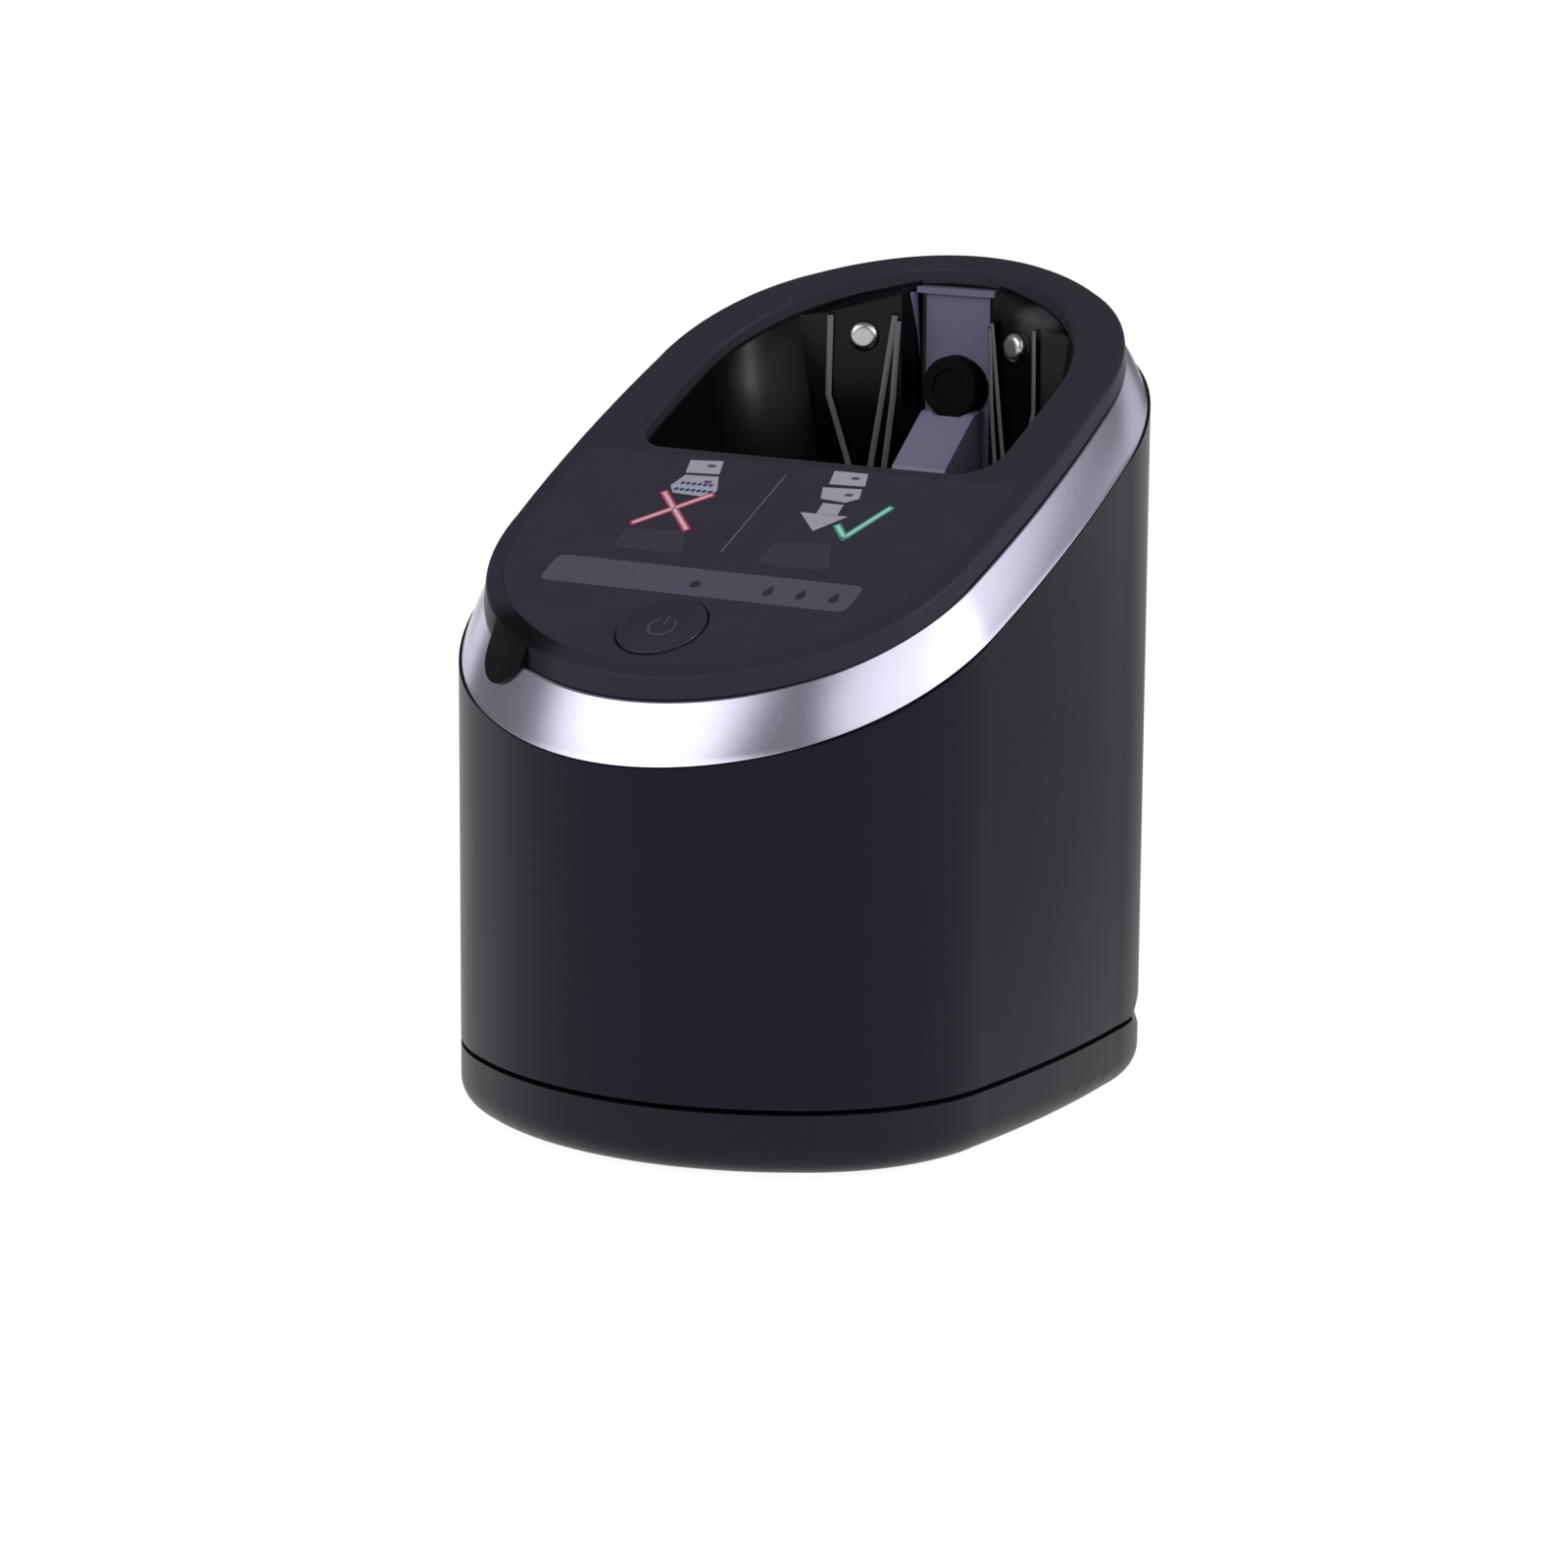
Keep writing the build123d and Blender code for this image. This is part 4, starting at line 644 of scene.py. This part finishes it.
def makeSpineTrim():
    oval = []
    for step in range(spine["seatSteps"]):
        turn = 2 * math.pi * step / spine["seatSteps"]
        oval.append((spine["seatHalf"] * math.cos(turn), spine["seatZ"] + spine["seatRise"] * math.sin(turn)))
    depths = (spine["face"] - spine["seatProud"], spine["face"] + spine["seatSunk"])
    seat = [[(x, y, z) for x, z in oval] for y in depths]
    makePrism("bossSeat", [seat], looks["basin_plastic"])
    wedges = []
    for sign in (-1, 1):
        for corners in spine["wedges"]:
            depths = (0, spine["wedgeDeep"])
            wedges.append([[(sign * (x + deep), y, z) for x, y, z in corners] for deep in depths])
    makePrism("ledgeWedges", wedges, looks["spine_plastic"])


# a pale grey painted highlight for the glossy rib edges
ribHighlightGrey = makeMoulded("paintedHighlightRib", (0.150, 0.142, 0.158), roughness=0.25, grain=0.3, depth=0.001, dust=0.1,
                      specular=0.6)
makeBasin()
makeRibHighlights()
makeSpineTrim()
print("basin, rib edges and spine trim made")


# Prints on the deck: thin raised ink, across and up the slope in millimetres

layers = dict(  # lower and upper face of each layer over the deck
    plain=(-0.02, 0.03), cross=(-0.02, 0.05), crossCore=(0.02, 0.07), check=(-0.02, 0.04),
    checkCore=(0.02, 0.06), marks=(0.0, 0.045), dots=(0.02, 0.05), seat=(-1.2, -0.01), face=(-0.05, 0.01),
)


def deckPrism(shape, outline, layer, base=deckHeight):
    rows = []
    for height in layers[layer]:
        rows.append([shape.verts.new(deckPoint(x, along, height, base)) for x, along in outline])
    closeTube(shape, rows)


def inkPlate(name, outlines, material, layer="plain"):
    shape = bmesh.new()
    for outline in outlines:
        deckPrism(shape, outline, layer)
    piece = finishMesh(name, shape, material, "housing")
    return piece


def stroke(points, width):  # flat bars along a run of points, each with squared ends
    bars = []
    for start, end in zip(points, points[1:]):
        run = Vector((end[0] - start[0], end[1] - start[1]))
        side = Vector((-run.y, run.x)).normalized() * width / 2
        reach = run.normalized() * width / 2
        first, last = Vector(start) - reach, Vector(end) + reach
        bars.append([tuple(first + side), tuple(first - side), tuple(last - side), tuple(last + side)])
    return bars


def roundedBox(x, along, halfWidth, halfRise, corner, steps=4):
    outline = []
    right, high = halfWidth - corner, halfRise - corner
    middles = ((right, high, 0), (-right, high, 90), (-right, -high, 180), (right, -high, 270))
    for across, up, start in middles:
        for step in range(steps + 1):
            turn = math.radians(start + 90 * step / steps)
            outline.append((x + across + corner * math.cos(turn), along + up + corner * math.sin(turn)))
    return outline


def pointsAt(radius, turns, x=0.0, along=0.0):
    return [(x + radius * math.cos(turn), along + radius * math.sin(turn)) for turn in turns]


def circle(radius, sides, x=0.0, along=0.0):
    return pointsAt(radius, [2 * math.pi * step / sides for step in range(sides)], x, along)


def openArc(gap, steps):  # turns round an arc that is open up the slope, gap degrees to each side
    return [math.radians(90 + gap + (360 - 2 * gap) * step / steps) for step in range(steps + 1)]


def makeInk(name, colour):
    return makeMoulded(name, colour, grain=0.3, depth=0.001, smudge=0.6, dust=0.3)


inks = dict(
    pale=makeInk("palePrint", (0.46, 0.45, 0.52)),
    faint=makeInk("faintPrint", (0.045, 0.038, 0.064)),
    red=makeInk("redPrint", (0.60, 0.07, 0.14)),
    pink=makeInk("pinkPrint", (0.85, 0.58, 0.66)),
    green=makeInk("greenPrint", (0.05, 0.42, 0.27)),
    mint=makeInk("mintPrint", (0.50, 0.82, 0.72)),
    blue=makeInk("bluePrint", (0.035, 0.075, 0.24)),
    shadow=makeInk("shadowPrint", (0.10, 0.095, 0.12)),
    dark=makeInk("darkPrint", (0.026, 0.022, 0.036)),
    line=makeInk("dividerPrint", (0.13, 0.125, 0.155)),
    sign=makeInk("signPrint", (0.080, 0.073, 0.100)),
)
signs = dict(
    shaverLeft=[(-23.1, -5.7), (-16.0, -5.1), (-14.6, -9.4), (-21.9, -9.8)],
    headLeft=[(-21.5, -10.6), (-14.3, -10.2), (-12.2, -14.6), (-13.0, -17.0), (-21.0, -16.6),
              (-22.7, -14.4)],
    standLeft=[(-24.4, -29.4), (-11.9, -27.8), (-8.4, -34.6), (-12.0, -35.6), (-23.6, -35.2)],
    shaverRight=[(8.4, -4.8), (15.7, -4.8), (17.1, -8.8), (9.5, -9.1)],
    headRight=[(8.8, -10.3), (17.0, -9.8), (18.0, -12.8), (15.8, -14.4), (10.2, -13.9)],
    shaft=[(11.4, -15.2), (15.9, -15.2), (16.3, -18.6), (11.8, -18.6)],
    arrow=[(8.4, -18.7), (18.6, -18.7), (14.0, -24.1)],
    standRight=[(8.2, -28.6), (19.6, -27.4), (23.4, -34.8), (20.0, -36.0), (8.0, -35.6)],
    cross=([(-23.6, -27.0), (-12.7, -16.3)], [(-22.5, -17.0), (-11.9, -27.4)]),
    crossWidth=1.6, crossCore=0.75,
    check=[(18.3, -22.0), (21.3, -25.1), (25.6, -15.0)], checkWidth=1.6, checkCore=0.7,
    divider=[(-0.8, -7.8), (-0.8, -33.2)], dividerWidth=0.35,
    marks=[(-17.6, -7.0), (-15.6, -12.2), (13.9, -6.6), (15.3, -12.0)], markSize=(0.9, 0.45, 0.4),
)


def makeSigns():
    shavers = ("shaverLeft", "headLeft", "shaverRight", "headRight", "shaft", "arrow")
    inkPlate("signShavers", [signs[name] for name in shavers], inks["pale"])
    inkPlate("signStands", [signs["standLeft"], signs["standRight"]], inks["faint"])
    for name, width, ink, layer in (("signCross", signs["crossWidth"], "red", "cross"),
                                    ("signCrossCore", signs["crossCore"], "pink", "crossCore")):
        bars = [bar for run in signs["cross"] for bar in stroke(run, width)]
        inkPlate(name, bars, inks[ink], layer)
    inkPlate("signCheck", stroke(signs["check"], signs["checkWidth"]), inks["green"], "check")
    inkPlate("signCheckCore", stroke(signs["check"], signs["checkCore"]), inks["mint"], "checkCore")
    marks = [roundedBox(x, along, *signs["markSize"]) for x, along in signs["marks"]]
    inkPlate("signMarks", marks, inks["shadow"], "marks")
    inkPlate("signDivider", stroke(signs["divider"], signs["dividerWidth"]), inks["line"])


makeSigns()
print("deck signs made")


# Repeated small marks come from one Geometry Nodes tree each

def rowTree(name, material):  # copies of a small mesh along a line
    tree = bpy.data.node_groups.new(name, "GeometryNodeTree")
    for label, kind in (("Mark", "NodeSocketObject"), ("Count", "NodeSocketInt"),
                        ("Start", "NodeSocketVector"), ("Step", "NodeSocketVector")):
        tree.interface.new_socket(label, in_out="INPUT", socket_type=kind)
    tree.interface.new_socket("Geometry", in_out="OUTPUT", socket_type="NodeSocketGeometry")
    takes, gives = tree.nodes.new("NodeGroupInput"), tree.nodes.new("NodeGroupOutput")
    line = tree.nodes.new("GeometryNodeMeshLine")
    source = tree.nodes.new("GeometryNodeObjectInfo")
    copies = tree.nodes.new("GeometryNodeInstanceOnPoints")
    real = tree.nodes.new("GeometryNodeRealizeInstances")
    finish = tree.nodes.new("GeometryNodeSetMaterial")
    finish.inputs["Material"].default_value = material
    links = tree.links
    links.new(takes.outputs["Count"], line.inputs["Count"])
    links.new(takes.outputs["Start"], line.inputs["Start Location"])
    links.new(takes.outputs["Step"], line.inputs["Offset"])
    links.new(takes.outputs["Mark"], source.inputs["Object"])
    links.new(line.outputs["Mesh"], copies.inputs["Points"])
    links.new(source.outputs["Geometry"], copies.inputs["Instance"])
    links.new(copies.outputs["Instances"], real.inputs["Geometry"])
    links.new(real.outputs["Geometry"], finish.inputs["Geometry"])
    links.new(finish.outputs["Geometry"], gives.inputs["Geometry"])
    return tree


def rowOf(name, mark, count, start, step, material, body):
    holder = bpy.data.objects.new(name, bpy.data.meshes.new(name))
    bpy.context.scene.collection.objects.link(holder)
    tree = rowTree(name + "Row", material)
    modifier = holder.modifiers.new("row", "NODES")
    modifier.node_group = tree
    names = {item.name: item.identifier for item in tree.interface.items_tree if item.in_out == "INPUT"}
    modifier[names["Mark"]] = mark
    modifier[names["Count"]] = count
    modifier[names["Start"]] = start
    modifier[names["Step"]] = step
    bpy.context.view_layer.update()
    made = bpy.data.meshes.new_from_object(holder.evaluated_get(bpy.context.evaluated_depsgraph_get()))
    holder.modifiers.clear()
    holder.data = made
    made.name = name
    bpy.data.objects.remove(mark)
    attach(holder, body)


def looseMark(name, outline, layer):  # a small prism on the deck's directions, to be copied along a row
    shape = bmesh.new()
    deckPrism(shape, outline, layer, base=0.0)
    return linkMesh(name, shape)


display = dict(
    along=-43.3, half=33.25, rise=4.15, corner=1.7, dotPlace=(-0.5, -43.9), dotRadius=1.1, dotSides=20,
    dropPlace=(15.2, -44.1), dropPitch=6.95, dropCount=3, dropRadius=1.0, dropTip=2.3,
    dropGap=60, dropSteps=12,
)


def makeDisplayPlate():
    half, rise, along = display["half"], display["rise"], display["along"]
    pocket = [(-half, along - rise), (half, along - rise), (half, along + rise), (-half, along + rise)]
    seat = inkPlate("displaySeat", [pocket], looks["panel_plastic"], "seat")
    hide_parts("display_window")
    face = roundedBox(0.0, along, half, rise, display["corner"])
    inkPlate("displayFace", [face], looks["display_plastic"], "face")


def makeDisplayMarks():
    arc = openArc(display["dropGap"], display["dropSteps"])
    outline = [(0.0, display["dropTip"]), *pointsAt(display["dropRadius"], arc)]
    rowOf("displayDrops", looseMark("drop", outline, "plain"), display["dropCount"],
          deckPoint(*display["dropPlace"]), Vector((display["dropPitch"] * mm, 0, 0)),
          inks["dark"], "housing")
    dot = circle(display["dotRadius"], display["dotSides"], *display["dotPlace"])
    inkPlate("displayDot", [dot], inks["dark"])


foamDots = dict(radius=0.52, sides=10, pitch=1.25, rows=((-20.6, -13.2, 6), (-20.9, -15.3, 7)))


def makeFoamDots():
    for number, (x, along, count) in enumerate(foamDots["rows"]):
        dot = looseMark("dot", circle(foamDots["radius"], foamDots["sides"]), "dots")
        rowOf(f"signFoam{number}", dot, count, deckPoint(x, along), Vector((foamDots["pitch"] * mm, 0, 0)),
              inks["blue"], "housing")


makeDisplayPlate()
makeDisplayMarks()
makeFoamDots()
print("display and foam marks made")


# Start button: power sign printed in its dish

button = dict(
    place=-57.5, radius=8.6, dish=0.6, low=0.02, ringRadius=2.6, ringWidth=0.45, ringGap=38, ringSteps=36,
    barFoot=0.6, barLength=2.6, barSteps=6, ink=0.02,
)


def dishHeight(x, along):  # height of the dished face over the deck
    ball = (button["radius"]**2 + button["dish"]**2) / (2 * button["dish"])
    off = math.hypot(x, along - button["place"])
    return button["low"] + ball - math.sqrt(ball**2 - off**2)


def makeButtonSign():
    half, ink = button["ringWidth"] / 2, button["ink"]
    arc = openArc(button["ringGap"], button["ringSteps"])
    inner = pointsAt(button["ringRadius"] - half, arc, along=button["place"])
    outer = pointsAt(button["ringRadius"] + half, arc, along=button["place"])
    bar = []
    for step in range(button["barSteps"] + 1):
        along = button["place"] + button["barFoot"] + button["barLength"] * step / button["barSteps"]
        bar.append([(-half, along), (half, along)])
    shape = bmesh.new()
    for run in (zip(inner, outer), bar):
        rows = []
        for pair in run:
            low = [shape.verts.new(deckPoint(x, along, dishHeight(x, along) - ink)) for x, along in pair]
            high = [shape.verts.new(deckPoint(x, along, dishHeight(x, along) + ink)) for x, along in pair]
            rows.append((low[0], low[1], high[1], high[0]))
        closeTube(shape, rows)
    sign = finishMesh("startSign", shape, inks["sign"], "start_button")


makeButtonSign()
print("start sign made")


# Springs, copied from the CAD nodes with smooth shading: the anchor is each spring's fixed end

coilSmooth = 50  # degrees
springs = dict(
    releaseCoil=dict(node="release_spring", joint="release_press", axis=(0, -1, 0),
                     anchor=(0, 59.9, 24.0), keep=0.39),
    leftStudCoil=dict(node="contact_spring_left", joint="contact_left_press",
                      axis=(-0.374607, 0.927184, 0), anchor=(-19.2, 54.96, 139.8), keep=0.68),
    rightStudCoil=dict(node="contact_spring_right", joint="contact_right_press",
                       axis=(0.374607, 0.927184, 0), anchor=(19.2, 54.96, 139.8), keep=0.68),
)


def makeSpring(name, spring):
    coil = finishMesh(name, copyNode(spring["node"]), looks["spring_steel"], "housing", coilSmooth)
    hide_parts(spring["node"])
    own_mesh(coil)


for name, spring in springs.items():
    makeSpring(name, spring)
print("springs made")


# Raised grip bars on the release button in the rear wall

grip = dict(
    centre=6.0, radius=63.5, halfWidth=6.5, deep=0.1, proud=0.4, footHalf=0.4, topHalf=0.24, steps=8,
    low=20.0, pitch=2.0, count=5,
)


def makeGrip():
    shape = bmesh.new()
    half = math.asin(grip["halfWidth"] / grip["radius"])
    foot, top, deep, proud = grip["footHalf"], grip["topHalf"], grip["deep"], grip["proud"]
    rows = []
    for step in range(grip["steps"] + 1):
        turn = math.pi / 2 + half * (2 * step / grip["steps"] - 1)
        row = []
        for out, z in ((-deep, -foot), (proud, -top), (proud, top), (-deep, foot)):
            radius = grip["radius"] + out
            place = Vector((radius * math.cos(turn), grip["centre"] + radius * math.sin(turn), z))
            row.append(shape.verts.new(place * mm))
        rows.append(row)
    closeTube(shape, rows)
    bar = linkMesh("gripBar", shape)
    start, pitch = Vector((0, 0, grip["low"])) * mm, Vector((0, 0, grip["pitch"])) * mm
    rowOf("releaseGrip", bar, grip["count"], start, pitch,
          looks["housing_plastic"], "release_button")


makeGrip()
print("release grip made")


# Floor, backdrop and lamps

room = dict(  # metres, with the drop under the feet in millimetres
    floorRadius=6.0, floorSides=96, floorDrop=0.05, floorShade=(0.80, 0.80, 0.82),
    shadowShade=(0.22, 0.22, 0.22), glow=0.94, worldShade=(0.96, 0.97, 1.0), world=0.20,
    dimPlace=(0.17, 0.42, 0.0), dimNear=0.15, dimFar=0.50, dim=0.5,
)


def mixShaders(tree, amount, first, second):
    mix = addNode(tree, "ShaderNodeMixShader")
    for slot, value in enumerate((amount, first, second)):
        tree.links.new(value, mix.inputs[slot])
    return mix.outputs[0]


def rayMix(tree, plain, bright, rays):  # bright for the rays named, plain for the rest
    path = addNode(tree, "ShaderNodeLightPath")
    amount = path.outputs[rays[0]]
    for ray in rays[1:]:
        amount = mathNode(tree, "MAXIMUM", amount, path.outputs[ray])
    return mixShaders(tree, amount, plain, bright)


def dimMirrored(tree, glow):  # the floor behind the right side looks dimmer where it is mirrored
    place = tree.nodes.new("ShaderNodeTexCoord").outputs["Object"]
    near = rampRound(tree, place, room["dimPlace"], room["dimFar"], room["dimNear"])
    mirrored = tree.nodes.new("ShaderNodeLightPath").outputs["Is Glossy Ray"]
    amount = mathNode(tree, "MULTIPLY", mathNode(tree, "MULTIPLY", near, mirrored), room["dim"])
    strength = mathNode(tree, "MULTIPLY", mathNode(tree, "SUBTRACT", 1.0, amount), room["glow"])
    tree.links.new(strength, glow.inputs["Strength"])


def makeFloorMaterial():
    material = bpy.data.materials.new("paleFloor")
    tree = emptyTree(material)
    out = tree.nodes.new("ShaderNodeOutputMaterial")
    plain = addNode(tree, "ShaderNodeBsdfDiffuse", Color=(*room["floorShade"], 1.0))
    shadowed = addNode(tree, "ShaderNodeBsdfDiffuse", Color=(*room["shadowShade"], 1.0))
    glow = tree.nodes.new("ShaderNodeEmission")
    dimMirrored(tree, glow)
    bright = addNode(tree, "ShaderNodeAddShader")
    tree.links.new(shadowed.outputs[0], bright.inputs[0])
    tree.links.new(glow.outputs[0], bright.inputs[1])
    rays = ["Is Camera Ray", "Is Glossy Ray", "Is Transmission Ray"]
    above = rayMix(tree, plain.outputs[0], bright.outputs[0], rays)
    fromBelow = tree.nodes.new("ShaderNodeNewGeometry").outputs["Backfacing"]
    nothing = tree.nodes.new("ShaderNodeBsdfTransparent").outputs[0]  # seen from below the floor is clear
    tree.links.new(mixShaders(tree, fromBelow, above, nothing), out.inputs["Surface"])
    return material


def makeFloor():
    shape = bmesh.new()
    bmesh.ops.create_circle(shape, cap_ends=True, segments=room["floorSides"], radius=room["floorRadius"])
    bmesh.ops.translate(shape, verts=shape.verts, vec=(0, 0, -room["floorDrop"] * mm))
    floor = linkMesh("paleFloor", shape, closed=False)
    floor.data.materials.append(makeFloorMaterial())


def makeWorld():
    world = bpy.data.worlds.new("paleRoom")
    bpy.context.scene.world = world
    tree = emptyTree(world)
    out = tree.nodes.new("ShaderNodeOutputWorld")
    dim = addNode(tree, "ShaderNodeBackground", Color=(*room["worldShade"], 1.0), Strength=room["world"])
    bright = addNode(tree, "ShaderNodeBackground", Color=(1.0, 1.0, 1.0, 1.0), Strength=1.0)
    tree.links.new(rayMix(tree, dim.outputs[0], bright.outputs[0], ["Is Camera Ray"]), out.inputs["Surface"])


lampAim = Vector((0, 0, 0.09))
lamps = dict(  # turn and rise in degrees as seen from the stand, size and distance in metres
    frontLeft=dict(turn=-117, rise=30, distance=1.20, size=(1.40, 1.00), glow=2.0, gloss=0.42),
    right=dict(turn=-9, rise=31, distance=1.25, size=(2.35, 1.00), glow=1.40, gloss=0.5),
    rearLeft=dict(turn=160, rise=8, distance=1.30, size=(0.45, 0.45), glow=1.0, gloss=0.6),
    rearRight=dict(turn=66, rise=14, distance=1.30, size=(1.05, 0.42), glow=0.60, gloss=1.0),
    strip=dict(turn=6, rise=19, distance=1.20, size=(0.13, 0.50), glow=20.0, gloss=1.0),
)


def softenLamp(data, gloss):  # a diffuser that fades to its edges, dimmer where it is seen mirrored
    tree = emptyTree(data)
    out = tree.nodes.new("ShaderNodeOutputLight")
    glow = tree.nodes.new("ShaderNodeEmission")
    across = tree.nodes.new("ShaderNodeSeparateXYZ")
    tree.links.new(tree.nodes.new("ShaderNodeNewGeometry").outputs["Parametric"], across.inputs[0])
    mirrored = tree.nodes.new("ShaderNodeLightPath").outputs["Is Glossy Ray"]
    share = mathNode(tree, "SUBTRACT", 1.0, mathNode(tree, "MULTIPLY", mirrored, 1.0 - gloss))
    for axis in ("X", "Y"):
        off = mathNode(tree, "MULTIPLY", mathNode(tree, "SUBTRACT", across.outputs[axis], 0.5), 2.0)
        square = mathNode(tree, "MULTIPLY", off, off)
        fall = mathNode(tree, "SUBTRACT", 1.0, mathNode(tree, "MULTIPLY", square, square))
        share = mathNode(tree, "MULTIPLY", fall, share)
    tree.links.new(share, glow.inputs["Strength"])
    tree.links.new(glow.outputs[0], out.inputs["Surface"])


def makeLamp(name, lamp):
    data = bpy.data.lights.new(name, "AREA")
    data.shape = "RECTANGLE"
    data.size, data.size_y = lamp["size"]
    data.energy = lamp["glow"] * math.pi * data.size * data.size_y
    softenLamp(data, lamp["gloss"])
    turn, rise = math.radians(lamp["turn"]), math.radians(lamp["rise"])
    away = Vector((math.cos(rise) * math.cos(turn), math.cos(rise) * math.sin(turn), math.sin(rise)))
    light = bpy.data.objects.new(name, data)
    light.location = lampAim + away * lamp["distance"]
    light.rotation_euler = away.to_track_quat("Z", "Y").to_euler()
    bpy.context.scene.collection.objects.link(light)


makeFloor()
makeWorld()
for name, lamp in lamps.items():
    makeLamp(name, lamp)
bpy.context.scene.view_settings.view_transform = "Standard"
print("floor, room and lamps placed")
